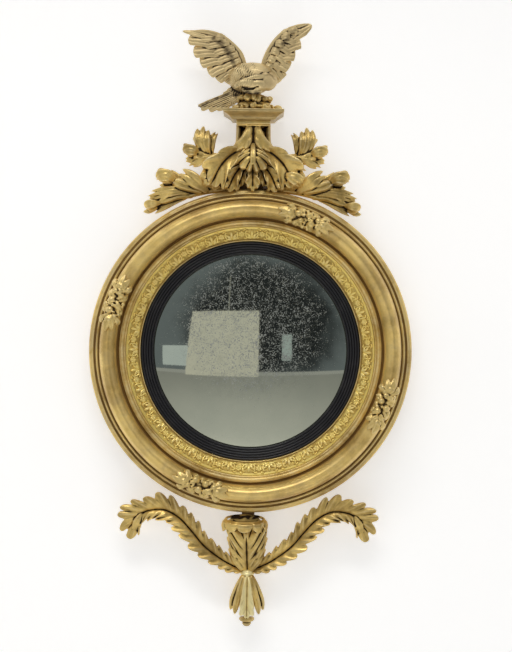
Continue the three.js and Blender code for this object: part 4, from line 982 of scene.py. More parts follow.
def upper_spray(outward=1.0):
    """Spray beside the pedestal, its lobes reaching further out by a factor on one hand."""

    def p(x, rise, h):
        return crest(-22 + (x + 22) * outward, rise, h)

    return [
        lobe(
            path_on(p, (-18, 60, 22), (-44, 60, 28), (-66, 60, 36), (-90, 61, 42)), [9, 9, 8, 9], groove=0.35,
        ),
        *blade(
            path_on(p, (-80, 56, 38), (-91, 74, 46), (-96, 95, 46), (-94, 119, 34)), [9, 15, 19, 19], 3, 6,
            ragged=0.12, groove=0.35, flare=0.1,
        ),
        *blade(
            path_on(p, (-78, 58, 34), (-80, 76, 38), (-77, 94, 39), (-67, 110, 31)), [6, 9, 8, 4], 2, 5,
            ragged=0.05,
        ),
        lobe(path_on(p, (-98, 84, 38), (-107, 92, 37), (-114, 97, 30)), [6, 6, 2.5], 4),
        lobe(path_on(p, (-80, 60, 40), (-98, 62, 46), (-112, 66, 48)), [7, 9, 11]),
        *blade(
            path_on(p, (-98, 64, 40), (-112, 70, 56), (-125, 71, 53), (-130, 66, 42)), [7, 13, 11, 4], 3, 6,
            groove=0.2, ragged=0.1,
        ),
        ball(p(-114, 68, 44), (12, 10, 9)),
        lobe(path_on(p, (-118, 76, 44), (-127, 81, 40), (-131, 84, 36)), [6, 5, 2], 4),
        *blade(path_on(p, (-102, 60, 42), (-117, 56, 42), (-130, 53, 33)), [7, 8, 3.5], 2, 4),
        *blade(
            path_on(p, (-66, 60, 40), (-90, 57, 47), (-106, 50, 45), (-121, 43, 36)), [7, 10, 11, 7], 3, 5,
        ),
        *blade(
            path_on(p, (-38, 60, 38), (-58, 55, 48), (-77, 46, 49), (-95, 36, 39)), [9, 14, 14, 9], 3, 5.5,
            ragged=0.22,
        ),
        *blade(path_on(p, (-50, 54, 38), (-66, 42, 44), (-80, 32, 38)), [6, 8, 5], 2, 4),
    ]


def lower_spray():
    """Spray over the frame's edge below the first."""
    return [
        lobe(
            path_on(crest, (-44, 4, 24), (-80, 0, 33), (-112, -8, 38), (-140, -16, 38)), [9, 9, 8, 7],
            groove=0.3,
        ),
        *blade(
            path_on(crest, (-84, -6, 38), (-100, 7, 47), (-117, 21, 50), (-138, 34, 41)), [9, 14, 14, 9], 2,
            5, ragged=0.06, groove=0.15,
        ),
        lobe(path_on(crest, (-116, 0, 34), (-137, 20, 36), (-155, 37, 31)), [6, 6, 1.8], 3.5),
        lobe(path_on(crest, (-94, -5, 40), (-122, 3, 47), (-148, 13, 50)), [6, 9, 12], groove=0.3),
        *blade(
            path_on(crest, (-142, 12, 42), (-158, 22, 60), (-173, 21, 57), (-180, 15, 44)), [8, 15, 13, 5], 3,
            6, groove=0.2, ragged=0.1,
        ),
        ball(crest(-160, 18, 44), (14, 11, 10)),
        lobe(path_on(crest, (-164, 29, 44), (-174, 33, 40), (-180, 31, 34)), [7, 6, 2], 4),
        *blade(path_on(crest, (-146, 6, 40), (-164, 3, 40), (-180, 3, 32)), [8, 9, 5], 2, 4),
        *blade(
            path_on(crest, (-100, -9, 36), (-136, -5, 45), (-166, -8, 47), (-198, -15, 37)), [7, 10, 12, 10],
            3, 5, ragged=0.1,
        ),
        *blade(path_on(crest, (-150, -12, 38), (-174, -18, 43), (-202, -24, 36)), [6, 8, 5], 2, 4),
        lobe(path_on(crest, (-110, -12, 36), (-142, -14, 43), (-176, -27, 45)), [6, 8, 9], groove=0.3),
        *blade(
            path_on(crest, (-172, -28, 42), (-186, -30, 53), (-197, -32, 49), (-202, -37, 38)), [7, 10, 9, 4],
            3, 5, groove=0.2, ragged=0.1,
        ),
        ball(crest(-189, -34, 42), (12, 10, 9)),
        lobe(path_on(crest, (-178, -32, 36), (-194, -42, 36), (-206, -44, 30)), [7, 6, 2.4], 4),
        *blade(
            path_on(crest, (-122, -17, 35), (-148, -25, 41), (-170, -36, 41), (-191, -49, 35)), [5, 8, 8, 5],
            2, 4.5,
        ),
    ]


def crest_leaf(knob):
    """A broad folded leaf that droops from the pedestal's foot, and the leaves sheltered behind it."""
    parts = [
        lobe(path_on(crest, (-12, 72, 28), (-36, 40, 34), (-66, 12, 32)), [14, 26, 20], 8, 16, groove=0),
        acanthus(
            path_on(crest, (-16, 78, 44), (-40, 63, 57), (-59, 43, 62), (-71, 20, 57)), [15, 30, 34, 28],
            [12, 24, 27, 24], 3, lean=40, fan=0.6, relief=5.0, crown=7, notch=0.4, thick=9, close=0.5, seed=8,
        ),
        acanthus(
            path_on(crest, (-34, 66, 44), (-58, 54, 50), (-80, 38, 49)), [9, 19, 17], [8, 15, 14], 4, lean=42,
            fan=0.7, relief=3.5, crown=5, notch=0.4, thick=7, seed=3,
        ),
        acanthus(
            path_on(crest, (-20, 46, 42), (-34, 26, 50), (-44, 4, 49)), [10, 20, 17], [9, 17, 15], 3, lean=40,
            fan=0.6, relief=3.8, crown=5, notch=0.4, thick=8, close=0.4, seed=4,
        ),
    ]
    for x, rise in ((-97, 16), (-90, 3), (-56, -2), (-73, -3)):
        path = path_on(crest, (x * 0.84, rise + 17, 50), (x * 0.94, rise + 8, 57), (x, rise, 49))
        parts.append(lobe(path, [7, 8, 3.4], 5, 6))
    if knob:
        parts += blade(
            path_on(crest, (-60, 26, 62), (-72, 22, 73), (-85, 14, 72), (-88, 4, 62)), [8, 14, 13, 7], 3, 5,
            groove=0.1,
        )
    return parts


def centre_leaf():
    """The overhanging leaf under the pedestal, and the small leaf sheltered beneath it."""
    parts = [
        lobe(path_on(crest, (0, 77, 26), (0, 40, 28), (0, -4, 25)), [22, 27, 22, 12], 14, 18, groove=0),
        acanthus(
            path_on(crest, (0, 84, 48), (0, 68, 60), (0, 50, 65)), [24, 42, 44], [24, 40, 42], 5, lean=60,
            fan=0.6, relief=3.8, crown=3, notch=0.35, thick=7, bow=9, close=0.3, seed=2,
        ),
        acanthus(
            path_on(crest, (0, 42, 42), (0, 22, 52), (0, 2, 50)), [8, 17, 15], [8, 16, 14], 4, lean=40,
            fan=0.5, relief=3.2, crown=3.5, notch=0.4, thick=7, close=0.4, seed=6,
        ),
        lobe(
            path_on(crest, (0, 86, 50), (0, 66, 62), (0, 44, 66)), [5, 5.5, 6], 5, 5, flutes=1, groove=0.4,
            tip=0.15, root=0.02,
        ),
    ]
    for hand in (-1, 1):
        path = path_on(crest, (hand * 11, 48, 34), (hand * 20, 26, 45), (hand * 27, 2, 42))
        shape = dict(lean=38, fan=0.5, relief=3, crown=3, notch=0.4, thick=6, close=0.4, seed=7)
        parts.append(acanthus(path, [6, 11, 10], [6, 11, 10], 4, **shape))
    return parts


for node_name, parts in (
    ("upper_spray_left", upper_spray()),
    ("upper_spray_right", flipped(upper_spray(1.08))),
    ("lower_spray_left", lower_spray()),
    ("lower_spray_right", flipped(lower_spray())),
    ("crest_leaf_left", crest_leaf(False)),
    ("crest_leaf_right", flipped(crest_leaf(True))),
):
    carve(f"{node_name}_carving", parts, CARVED_GILT, "gilt", [node_name])
carve("centre_leaf_carving", centre_leaf(), CARVED_GILT, "gilt", ["crest_centre_leaf"])
shank = lobe(path_on(crest, (24, 2, 22), (24, 2, 54)), [2.4, 2.4], 2.4, 2.4, groove=0, lie=UP)
screw = [ball(crest(24, 2, 55), (5, 3.6, 4.6)), shank]
carve("crest_screw", screw, IRON, "iron", (), grain=0.6, soften=1)

# ---------------------------------------------------------------- pedestal and plinth


def pedestal_parts():
    """A waisted block under a moulded top, with straps that curl out over its foot."""
    foot, top = PEDESTAL_LOW[2], PEDESTAL_HIGH[2]
    half = PEDESTAL_HIGH[0]
    front = -PEDESTAL_LOW[1]
    parts = [
        block(-half, half, foot, foot + 5, 2, front - 30),
        block(-half + 1, half - 1, top - 7, top, 2, front),
        block(-half + 3, half - 3, top - 10, top - 6, 2, front - 3),
        block(-half + 8, half - 8, foot, top, 2, 14),
        lobe([(0, -50, foot - 8), (0, -51, foot + 14), (0, -50, top - 4)], [12, 7, 4], 5, 6, groove=0.5),
    ]
    for hand in (-1, 1):
        side = [
            (hand * (half + 1), -28, foot), (hand * (half - 4), -28, foot + 14),
            (hand * (half - 5), -28, top),
        ]
        parts.append(lobe(side, [6, 4.5, 4.5], 17, 17, groove=0, tip=0.01, root=0.01))
        strap = [
            (hand * 7, -48, top - 3), (hand * 9, -53, foot + 33), (hand * 15, -56, foot + 16),
            (hand * 26, -55, foot + 2), (hand * 42, -47, foot - 10),
        ]
        parts.append(lobe(strap, [5.5, 6.5, 8.5, 9.5, 5], 5, 6, groove=0.15, tip=0.3, root=0.02))
        inner = [(hand * 5, -50, foot + 30), (hand * 8, -57, foot + 12), (hand * 16, -58, foot - 4)]
        parts.append(lobe(inner, [3, 5.5, 5], 4, 5, groove=0.1, tip=0.4))
    return parts


PLINTH_STEPS = [
    (0, 17), (2, 15.5), (3.4, 14), (4.6, 13.8), (5.2, 12.4), (7, 10.5), (9, 7),
    (10.6, 4), (11.6, 2.8), (12.4, 2.6), (12.8, 0.6), (13.6, 0), (18.2, 0), (19, 0.8),
]


def plinth_parts():
    """The moulded plinth, from steps of its rise and of how far its edge stands in."""
    low, high = PLINTH_LOW[2], PLINTH_HIGH[2]
    half, back, front = PLINTH_HIGH[0], -PLINTH_HIGH[1], -PLINTH_LOW[1]
    rings = []
    for rise, inset in PLINTH_STEPS:
        z = low + rise * (high - low) / PLINTH_STEPS[-1][0]
        x, b, f = half - inset, back + inset / 3, front - inset
        rings.append([(-x, -b, z), (x, -b, z), (x, -f, z), (-x, -f, z)])
    return [tube(np.array(rings, float))]


carve("pedestal_carving", pedestal_parts(), CARVED_GILT, "gilt", ["pedestal"])
carve("plinth_moulding", plinth_parts(), SHADED_GILT, "gilt", ["plinth"], grain=0.9, soften=1)

# ---------------------------------------------------------------- eagle

PERCH = PLINTH_HIGH[2]


def eagle(x, rise, h):
    """A point of the eagle, its height given above the plinth."""
    return (x, -h, PERCH + rise)


def rock_parts(rng):
    """Two tiers of broken rock round a sunk waist."""
    parts = [
        ball(eagle(0, 8, 46), (33, 14, 26)), ball(eagle(0, 20, 48), (28, 12, 20)),
        ball(eagle(45, 5, 40), (9, 7, 10)),
    ]
    for rise, across, deep, count, size in ((5, 35, 29, 20, 5.5), (21, 30, 25, 16, 6.0)):
        for k in range(count):
            turn = 2 * math.pi * (k + rng.uniform(0, 0.3)) / count
            place = eagle(across * math.cos(turn), rise + rng.uniform(-1.5, 1.5), 46 + deep * math.sin(turn))
            parts.append(ball(place, size * rng.uniform(0.6, 1.3, 3), 6))
            shard = np.array(place) + rng.uniform(-4, 4, 3)
            parts.append(ball(shard, size * rng.uniform(0.35, 0.8, 3), 5))
    return parts


def eagle_parts():
    """The body, head, beak and brow, the eye, and the tail feathers."""
    parts = [
        lobe(
            path_on(eagle, (-46, 47, 46), (-20, 59, 46), (10, 60, 48), (34, 54, 52)),
            [12, 24, 29, 30, 29, 24, 12], 29, 27, groove=0, root=0.15, tip=0.15,
        ),
        ball(eagle(0, 44, 78), (31, 15, 18)),
        lobe(path_on(eagle, (24, 55, 60), (24, 51, 74), (10, 47, 84)), [20, 18, 14], 14, 14, groove=0),
        lobe(
            path_on(eagle, (8, 48, 84), (-12, 46, 91), (-28, 42, 92), (-37, 35, 86)), [10, 9, 6.5, 3], 7, 6,
            groove=0, tip=0.15,
        ),
        lobe(path_on(eagle, (14, 35, 79), (-4, 31.5, 87), (-22, 31.5, 87)), [9, 7, 3.5], 6, 5, groove=0),
        lobe(path_on(eagle, (32, 58, 78), (8, 57, 91), (-16, 52, 95)), [5, 5, 3], 4, 5, groove=0),
        lobe(path_on(eagle, (8, 49, 88), (-10, 47, 94), (-29, 42, 92)), [5, 5, 2.6], 3.4, 4, groove=0),
        ball(eagle(-3, 52, 92), (4.4, 3.2, 3.6), 10),
    ]
    tail = [(-106, 8, 6), (-100, 1, 6.5), (-84, -1, 7), (-70, 2, 7)]
    for i, (x, rise, width) in enumerate(tail):
        path = path_on(
            eagle, (-22, 36 - i * 3, 44 + i * 2), (x * 0.6 - 8, 20 - i * 3, 43 + i), (x, rise, 36 + i),
        )
        parts.append(lobe(path, [6, width, width, width * 0.7], 3, 3, flutes=2, groove=0.4, tip=0.1))
    rump = path_on(eagle, (-12, 44, 44), (-40, 30, 42), (-62, 19, 40))
    return parts + [lobe(rump, [18, 15, 10], 7, 7, groove=0)]


def plumage(points, normals):
    """Fine streaks of feather on the neck and tail, and the cut of the mouth."""
    x, rise, h = points[:, 0], points[:, 2] - PERCH, -points[:, 1]
    slit = near_line(points, [(-23, PERCH + 36), (-14, PERCH + 33.5), (-2, PERCH + 34), (8, PERCH + 37.5)])
    cut = np.exp(-((slit / 1.5) ** 2)) * (h > 66) * 4.5
    neck = 1 / (1 + np.exp((x + 6 - 0.3 * (rise - 50)) / 4)) * (rise > 6)
    drift = x - 0.35 * rise + 2.2 * np.sin(rise / 5.5) + 1.4 * np.sin(rise / 2.3 + x / 7)
    streak = np.sin(2 * math.pi * drift / 4.4) * (0.6 + 0.4 * np.sin(rise / 4 + x / 3))
    tail = 1 / (1 + np.exp((x + 44) / 2.5))
    vane = np.sin(2 * math.pi * (rise - 0.42 * x) / 3.6)
    depth = neck * (0.4 - 0.75 * (streak * (1 - tail) + vane * tail))
    return points - normals * (cut + depth)[:, None]


def wing(span, tips, roots, widths, edge, covert_roots, covert_tips, near_tips):
    """Flight feathers over each other, two rows of coverts over their roots, and the thick front edge.

    Feathers are listed as (x, rise) pairs, whose height grows with their reach out to the span.
    """

    def raised(pairs, foot, top):
        return [eagle(x, rise, foot + (top - foot) * abs(x) / span) for x, rise in pairs]

    parts = []
    lie = np.array([0.0, -1.0, 0.22])
    for i, (root, tip, width) in enumerate(zip(raised(roots, 42, 56), raised(tips, 43, 56), widths)):
        middle = np.array(root) * 0.45 + np.array(tip) * 0.55 + np.array([0, -2.0, 2.0])
        sizes = [width * 0.7, width, width * 1.05, width * (1.0 if i else 0.4)]
        parts.append(
            lobe([root, middle, tip], sizes, 3.0, 2.4, flutes=2.5, groove=0.55, tip=0.1, lie=lie, fine=1.2)
        )
    coverts = [(*ends, 8) for ends in zip(raised(covert_roots, 46, 56), raised(covert_tips, 46, 57))]
    coverts += [(*ends, 7) for ends in zip(raised(covert_roots, 49, 60), raised(near_tips, 49, 61))]
    for root, tip, width in coverts:
        middle = (np.array(root) + np.array(tip)) / 2 + np.array([0, -2.5, 1.0])
        sizes = [width, width * 1.1, width * 0.9]
        parts.append(lobe([root, middle, tip], sizes, 1.8, 3.0, flutes=2.5, groove=0.6, tip=0.22, lie=lie))
    sizes = [6, 6.5, 7, 7, 6.5, 5.5, 4, 2]
    parts.append(
        lobe([eagle(*point) for point in edge], sizes, 4, 5, flutes=1, groove=0.3, root=0.02, tip=0.1)
    )
    inner = [(np.array(a) * 0.6 + np.array(b) * 0.4) for a, b, _ in coverts[: len(coverts) // 2]][::2]
    parts.append(lobe(inner, [18, 22, 20, 10], 1.2, 3.5, groove=0, lie=lie))
    return parts


LEFT_WING = wing(
    span=136,
    tips=[(-136, 146), (-125, 130), (-115, 107), (-102, 87), (-86, 68), (-70, 56), (-54, 52)],
    roots=[(-56, 128), (-52, 120), (-48, 110), (-45, 100), (-42, 90), (-38, 80), (-34, 70)],
    widths=[6, 10.5, 12.5, 12.5, 12.5, 11.5, 9],
    edge=[
        (-18, 78, 44), (-23, 94, 45), (-30, 108, 47), (-46, 124, 50),
        (-64, 137, 53), (-88, 145, 55), (-118, 147, 56),
    ],
    covert_roots=[(-58, 136), (-48, 128), (-38, 118), (-31, 107), (-26, 96), (-22, 86), (-20, 76)],
    covert_tips=[(-103, 134), (-94, 119), (-84, 104), (-75, 90), (-65, 77), (-55, 66), (-42, 60)],
    near_tips=[(-74, 134), (-64, 122), (-55, 109), (-48, 98), (-42, 87), (-36, 77), (-31, 70)],
)
RIGHT_WING = wing(
    span=108,
    tips=[(107, 161), (87, 128), (77, 104), (66, 80), (54, 60), (46, 52)],
    roots=[(50, 122), (45, 112), (41, 102), (37, 92), (33, 82), (30, 72)],
    widths=[12, 12.5, 12.5, 12.5, 11, 9],
    edge=[
        (16, 78, 44), (22, 98, 45), (31, 116, 47), (43, 133, 50), (58, 147, 53), (78, 157, 55),
        (100, 163, 56),
    ],
    covert_roots=[(62, 149), (50, 139), (39, 127), (31, 113), (26, 99), (21, 86), (19, 76)],
    covert_tips=[(92, 150), (79, 128), (70, 108), (61, 90), (52, 75), (45, 64), (38, 58)],
    near_tips=[(80, 151), (66, 138), (55, 122), (46, 107), (39, 92), (34, 79), (30, 70)],
)
carve("rockwork_carving", rock_parts(RNG), CARVED_GILT, "gilt", ["rockwork"], grain=0.9, soften=1, broad=14)


def perch_line(*pairs):
    return [(x, PERCH + rise) for x, rise in pairs]


# Darkened lines on the eagle: round the head's outline, painted shade in its crease; under the beak; along
# the rump's edge over the tail.
HEAD_DARK_LINES = [
    (perch_line((-34, 50), (-18, 57), (6, 62), (34, 61), (42, 50)), 2.5, 0.25),
    (perch_line((-40, 30), (-24, 26), (10, 26)), 6.0, 0.45),
    (perch_line((-102, 8), (-60, 26), (-30, 40)), 4.0, 0.35),
]
# Darkened lines on the wings, mostly along the tips of the near coverts.
LEFT_DARK_LINES = [(perch_line((-76, 133), (-62, 124), (-50, 110), (-43, 96), (-38, 82)), 7.0, 0.35)]
RIGHT_DARK_LINES = [
    (perch_line((74, 148), (58, 132), (46, 116)), 7.0, 0.3), (perch_line((34, 84), (30, 74)), 5.0, 0.3),
]
carve(
    "eagle_body_carving", eagle_parts(), WORN_GILT, "gilt", ["eagle_body"],
    grain=0.9, detail=plumage, dark_lines=HEAD_DARK_LINES,
)
for side, parts, dark_lines in (("left", LEFT_WING, LEFT_DARK_LINES), ("right", RIGHT_WING, RIGHT_DARK_LINES)):
    name = f"eagle_wing_{side}"
    carve(f"{name}_carving", parts, WORN_GILT, "gilt", [name], grain=0.8, soften=1, broad=12, dark_lines=dark_lines)

# ---------------------------------------------------------------- apron


APRON_SPRAY_PATH = [
    (-4, -111, 27), (-26, -102, 32), (-51, -88, 36), (-82, -64, 39), (-106, -36, 41),
    (-130, -11, 42), (-158, 3, 42), (-187, 1, 40), (-204, -8, 37), (-214, -20, 33),
]


def apron_spray_parts():
    """The long leaf that sweeps from the bracket along the frame's edge, and its curled tip."""
    path = [apron(*point) for point in APRON_SPRAY_PATH]
    lower = [9, 17, 22, 26, 29, 29, 25, 24, 27, 30]
    upper = [10, 19, 24, 25, 26, 27, 29, 31, 31, 26]
    return [
        acanthus(
            path, lower, upper, 16, lean=47, fan=0.93, relief=5.4, crown=4.5, notch=0.48, swell=0.95,
            close=0.95,
        ),
        lobe(
            path_on(apron, (-196, -4, 36), (-208, -22, 40), (-214, -40, 32)), [6, 9, 6], 4, 4, flutes=2,
            groove=0.4,
        ),
    ]


def lip_parts():
    """The rolled lip of the bracket: a tilted rim, and a skirt folded down from it in five scallops."""
    x0, height, reach, depth, dip, thick = -6, 38, 36, 20, 5, 2.6
    turn = np.linspace(0, 2 * math.pi, 49)
    small = circle(10)
    middle = np.array([apron(x0, -13, height)])
    rim = middle + np.stack([reach * np.cos(turn), -depth * np.sin(turn), -dip * np.sin(turn)], axis=1)
    outward = unit((rim - middle) * np.array([1, 1, 0]))
    section = outward[:, None] * (thick * np.cos(small))[None, :, None]
    section = section + np.array([0, 0, thick]) * np.sin(small)[None, :, None]
    skirt = []
    for bend in np.linspace(-105, 105, 85):
        turned = math.radians(bend)
        x, near, tilt = x0 + reach * math.sin(turned), depth * math.cos(turned), -dip * math.cos(turned)
        out = np.array([math.sin(turned), -math.cos(turned), 0])
        scallop = math.sqrt(max(0.0, 1 - (2 * (((bend + 105) / 42) % 1) - 1) ** 2))
        crease = 5 * (1 - scallop) ** 1.5
        low = -25 - 11 * scallop
        rows = [
            (-12 + tilt, 2), (-17 + tilt * 0.8, 7 - crease * 0.6), (-24 + tilt * 0.3, 8.5 - crease),
            (low, 6 - crease), (low + 1, 2 - crease), (-23, 1 - crease), (-15 + tilt, -2),
        ]
        skirt.append([np.array(apron(x, rise, height + near)) + out * push for rise, push in rows])
    return [tube(rim[:, None] + section), tube(np.array(skirt)), ball(apron(x0, -22, height), (34, 19, 4))]


def bracket_parts():
    """A calyx of upright flutes under the lip, with smaller leaves curling out at both sides."""
    parts = [
        lobe(path_on(apron, (0, -112, 26), (0, -72, 28), (0, -34, 32)), [9, 18, 25, 26], 10, 16, groove=0),
        acanthus(
            path_on(apron, (0, -114, 31), (-1, -86, 42), (-2, -60, 51), (-3, -38, 53)), [20, 36, 40, 34],
            [19, 35, 38, 32], 4, lean=36, fan=0.6, relief=5.5, crown=4.0, thick=10, notch=0.34, bow=14,
            close=0.12,
        ),
    ]
    for hand in (-1, 1):
        for line, widths in (
            (((7, -110, 34), (20, -92, 40), (27, -76, 36), (35, -70, 26)), [4, 7, 7, 3]),
            (((9, -98, 36), (22, -76, 42), (29, -56, 38), (38, -48, 26)), [4, 8, 8, 3.5]),
            (((10, -84, 40), (22, -58, 46), (29, -40, 40), (37, -34, 28)), [4, 8, 9, 4]),
        ):
            line = [apron(hand * x - 1, rise, h) for x, rise, h in line]
            parts.append(lobe(line, widths, 5, 5, flutes=2, groove=0.35, tip=0.2, root=0.05))
    return parts + lip_parts()


def pendant_parts():
    """The pendant's bright middle leaf."""
    foot = FINIAL_HIGH[2] + RIM
    return [
        lobe(
            path_on(apron, (0, -117, 38), (0, -140, 44), (0, -168, 47), (0, foot + 2, 38)), [6, 9, 12, 13, 9],
            6, 6, flutes=2, groove=0.5, tip=0.15,
        ),
        acanthus(
            path_on(apron, (0, -116, 42), (0, -142, 50), (0, -168, 53), (0, foot + 9, 46)), [6, 12, 17, 15],
            [6, 12, 17, 15], 4, lean=30, fan=0.6, relief=3.4, crown=2.5, notch=0.2, thick=6, close=0.45,
        ),
        ball(apron(0, -116, 30), (13.5, 4.5, 13)),
        ball(apron(0, -112, 30), (11, 4, 11)),
        lobe(path_on(apron, (0, -114, 32), (0, -150, 34), (0, foot, 34)), [8, 9, 9], 8, 8, groove=0, tip=0.1),
    ]


def pendant_side_parts():
    """Narrow leaves that sheathe the pendant's middle leaf."""
    foot = FINIAL_HIGH[2] + RIM
    parts = [
        lobe(
            path_on(apron, (0, -113, 26), (0, -155, 24), (0, foot, 24)), [9, 13, 16, 11], 8, 10, groove=0,
            tip=0.15,
        )
    ]
    narrow = dict(depth=5, back=4, groove=0.4, tip=0.25)
    low = dict(depth=4, back=4, groove=0.3)
    leaves = (
        ([(7, -117, 34), (17, -138, 40), (26, -162, 38), (31, -186, 27)], [4, 6, 6.5, 4.5], narrow),
        ([(7, -118, 38), (13, -144, 44), (20, -172, 42), (23, -193, 33)], [4, 6, 6.5, 4], narrow),
        ([(5, -117, 20), (15, -150, 14), (20, -184, 12)], [5, 8, 8, 4], low),
    )
    for hand in (-1, 1):
        for line, widths, shape in leaves:
            parts.append(lobe([apron(hand * x, rise, h) for x, rise, h in line], widths, **shape))
    return parts


def finial_parts():
    top = FINIAL_HIGH[2]
    centre = (FINIAL_LOW[0] + FINIAL_HIGH[0]) / 2
    depth = (FINIAL_LOW[1] + FINIAL_HIGH[1]) / 2
    profile = [
        (7, 0), (13, -1), (14.6, -3), (14.8, -5), (12.6, -8), (9, -9.6), (7.2, -10.6), (8.4, -12), (8.4, -14),
        (5.4, -17.4), (0.6, -19),
    ]
    turn = circle(32)
    rings = np.array(
        [[(centre + r * math.cos(a), depth + r * math.sin(a), top + z) for a in turn] for r, z in profile]
    )
    return [tube(rings)]


LEAFY = dict(grain=0.85, soften=1, broad=20)
for side, parts in (("left", apron_spray_parts()), ("right", flipped(apron_spray_parts()))):
    name = f"apron_spray_{side}"
    carve(f"{name}_carving", parts, CARVED_GILT, "gilt", [name], **LEAFY)
# Painted shade across the bracket's dish, whose inside lies in shade.
DISH_SHADE = [([(apron(x, 0, 0)[0], apron(0, -8.5, 0)[2]) for x in (-30, 18)], 3.6, 0.9)]
carve("bracket_carving", bracket_parts(), CARVED_GILT, "gilt", ["bracket_leaf"], dark_lines=DISH_SHADE, **LEAFY)
carve("pendant_carving", pendant_parts(), LIT_GILT, "bright_gilt", ["pendant"])
carve("pendant_side_leaves", pendant_side_parts(), CARVED_GILT, "gilt", ())
carve("finial_turning", finial_parts(), CARVED_GILT, "gilt", ["finial"], grain=0.7, soften=1)

# ---------------------------------------------------------------- pieces kept from the frame

KEPT = {
    "packing_ring": PINE, "backboard_lower": PINE, "backboard_middle": PINE, "backboard_upper": PINE,
    "crest_board": BOLE, "apron_tongue": BOLE,
    "eagle_rod": IRON, "crest_brace": IRON, "apron_brace": IRON,
    "hanger_strap_left": BRASS, "hanger_strap_right": BRASS,
    "hanging_ring_left": BRASS, "hanging_ring_right": BRASS,
}
for name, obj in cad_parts.items():
    finish = KEPT.get(name)
    if name.startswith("glass_block"):
        finish = PINE
    elif "brace_screw" in name:
        finish = IRON
    elif "screw" in name:
        finish = BRASS
    if finish:
        obj.data.materials.clear()
        obj.data.materials.append(finish)

# ---------------------------------------------------------------- wall, floor, light and camera


def plane(name, corners, finish):
    mesh = bpy.data.meshes.new(name)
    mesh.from_pydata(corners, [], [(0, 1, 2, 3)])
    mesh.materials.append(finish)
    made = added(name, mesh)
    return made


WALL_GLOW = 0.42


def wall_paint():
    """White to the camera and in reflections, with the object's soft shadow; clear from behind."""
    made, tree = blank_material("wall paint")
    paint = node(tree, "ShaderNodeBsdfDiffuse", {"Color": (0.9, 0.9, 0.91, 1)})
    path = node(tree, "ShaderNodeLightPath").outputs
    seen = maths(tree, "MAXIMUM", path["Is Camera Ray"], path["Is Glossy Ray"])
    seen = maths(tree, "MAXIMUM", seen, path["Is Transmission Ray"])
    glow = node(tree, "ShaderNodeEmission", {"Color": (1, 1, 1, 1), "Strength": times(tree, seen, WALL_GLOW)})
    front = node(tree, "ShaderNodeAddShader", {0: paint.outputs[0], 1: glow.outputs[0]})
    behind = node(tree, "ShaderNodeNewGeometry").outputs["Backfacing"]
    clear = node(tree, "ShaderNodeBsdfTransparent")
    both = node(tree, "ShaderNodeMixShader", {0: behind, 1: front.outputs[0], 2: clear.outputs[0]})
    node(tree, "ShaderNodeOutputMaterial", {0: both.outputs[0]})
    return made


def floor_paint():
    made, tree, shader = material("floor paint")
    feed(tree, shader, {"Base Color": (0.72, 0.72, 0.7, 1), "Roughness": 0.9})
    return made


WALL_GAP = 0.008
FLOOR_LEVEL = -1.5
wall_corners = [(x, WALL_GAP, z) for x, z in ((-4, FLOOR_LEVEL), (4, FLOOR_LEVEL), (4, 3), (-4, 3))]
wall = plane("wall", wall_corners, wall_paint())
wall.visible_diffuse = False
wall.visible_shadow = False
plane("floor", [(x, y, FLOOR_LEVEL) for x, y in ((-9, -9), (9, -9), (9, 9), (-9, 9))], floor_paint())

world = bpy.data.worlds.new("room")
bpy.context.scene.world = world
world.use_nodes = True
background = world.node_tree.nodes["Background"]
feed(world.node_tree, background, {"Color": (1.0, 0.99, 0.97, 1), "Strength": 0.5})


def lamp(name, place, size, watts, colour):
    data = bpy.data.lights.new(name, "AREA")
    data.shape = "RECTANGLE"
    data.size, data.size_y = size
    data.energy = watts
    data.color = colour
    made = added(name, data)
    made.location = place
    direction = -np.array(place, float)
    made.rotation_euler = (
        math.atan2(math.hypot(direction[0], direction[1]), -direction[2]),
        0,
        math.atan2(direction[0], -direction[1]),
    )


lamp("key", (-0.3, -1.8, 2.4), (2.0, 0.9), 75, (1.0, 0.98, 0.95))
lamp("low fill", (0.2, -1.4, -1.38), (2.0, 0.5), 26, (1.0, 0.97, 0.93))


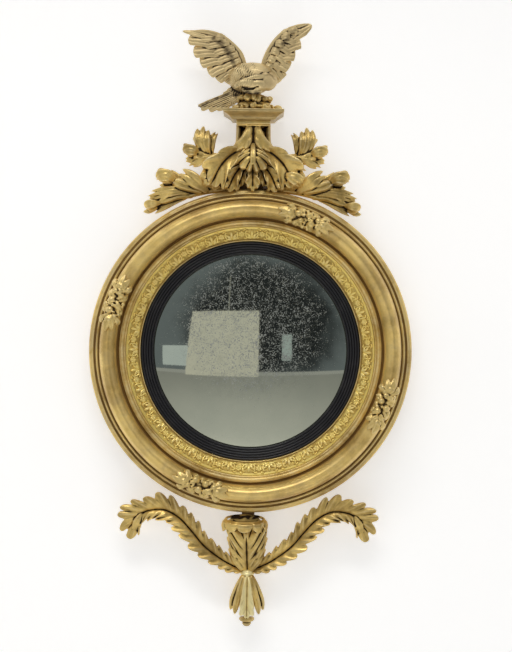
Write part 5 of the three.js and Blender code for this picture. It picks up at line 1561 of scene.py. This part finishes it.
def painted_reflection_card(name, x0, x1, z0, z1, distance, colour, strength, haze=0.0, lean=0.0):
    """A glowing sheet behind the camera, no lamp, that only the glass and the gilding see: a painted
    reflection, paler by its haze round the edge.
    """
    made, tree = blank_material(name)
    coords = object_place(tree)
    placed = {"Vector": coords, "Location": (-0.13, 0, -0.4), "Scale": (0.37, 0, 0.47)}
    reach = length_of(tree, node(tree, "ShaderNodeMapping", placed).outputs[0])
    edge = plus(tree, reach, times(tree, noise(tree, coords, 1.1, 5, 0.6), 0.6))
    pale = times(tree, ramp(tree, edge, 0.85, 1.35), haze)
    glow = node(tree, "ShaderNodeEmission", {"Color": (*colour, 1), "Strength": plus(tree, pale, strength)})
    node(tree, "ShaderNodeOutputMaterial", {0: glow.outputs[0]})
    corners = [(x1, -distance, z0), (x0 - lean, -distance, z0), (x0, -distance, z1), (x1, -distance, z1)]
    card = plane(name, corners, made)
    card.visible_camera = False
    card.visible_diffuse = False
    card.visible_transmission = False
    card.visible_shadow = False
    card.visible_volume_scatter = False


# Glowing sheets, no lamps, seen only in the glass and the gilding: painted reflections of a room, a dim one
# that darkens them and pale ones for a wall, a doorway, a pole and a sheet.
painted_reflection_card("dim_drape", -3.7, 3.6, -0.62, 3.7, 4.2, (0.8, 0.9, 1.0), 0.035, haze=0.22)
painted_reflection_card("far_wall", -2.55, -1.6, -0.5, 0.06, 4.1, (0.9, 0.97, 1.0), 0.75)
painted_reflection_card("lit_doorway", 0.8, 1.06, -0.3, 0.38, 4.0, (0.85, 0.97, 1.0), 0.6)
painted_reflection_card("pole", -0.53, -0.5, 0.8, 1.75, 3.5, (1.0, 0.97, 0.9), 0.4)
painted_reflection_card("pale_sheet", -1.36, 0.175, -0.62, 0.84, 3.4, (1.0, 0.95, 0.84), 0.8, lean=0.16)

CAMERA_DISTANCE = 3.0
SCALE_PLANE = 0.02  # metres in front of the back plane, where the photo's scale is taken
PHOTO_ROWS = 652
MM_PER_ROW = 1.894
SENSOR_HEIGHT = 24
ROLL = math.radians(0.8)
camera_data = bpy.data.cameras.new("camera")
camera_data.sensor_fit = "VERTICAL"
camera_data.sensor_height = SENSOR_HEIGHT
camera_data.lens = SENSOR_HEIGHT * (CAMERA_DISTANCE - SCALE_PLANE) / (PHOTO_ROWS * MM_PER_ROW * MM)
camera = added("camera", camera_data)
camera.location = (0.010, -CAMERA_DISTANCE, 0.0473)
camera.rotation_euler = (math.pi / 2, -ROLL, 0)
bpy.context.scene.camera = camera
bpy.context.scene.view_settings.view_transform = "Standard"
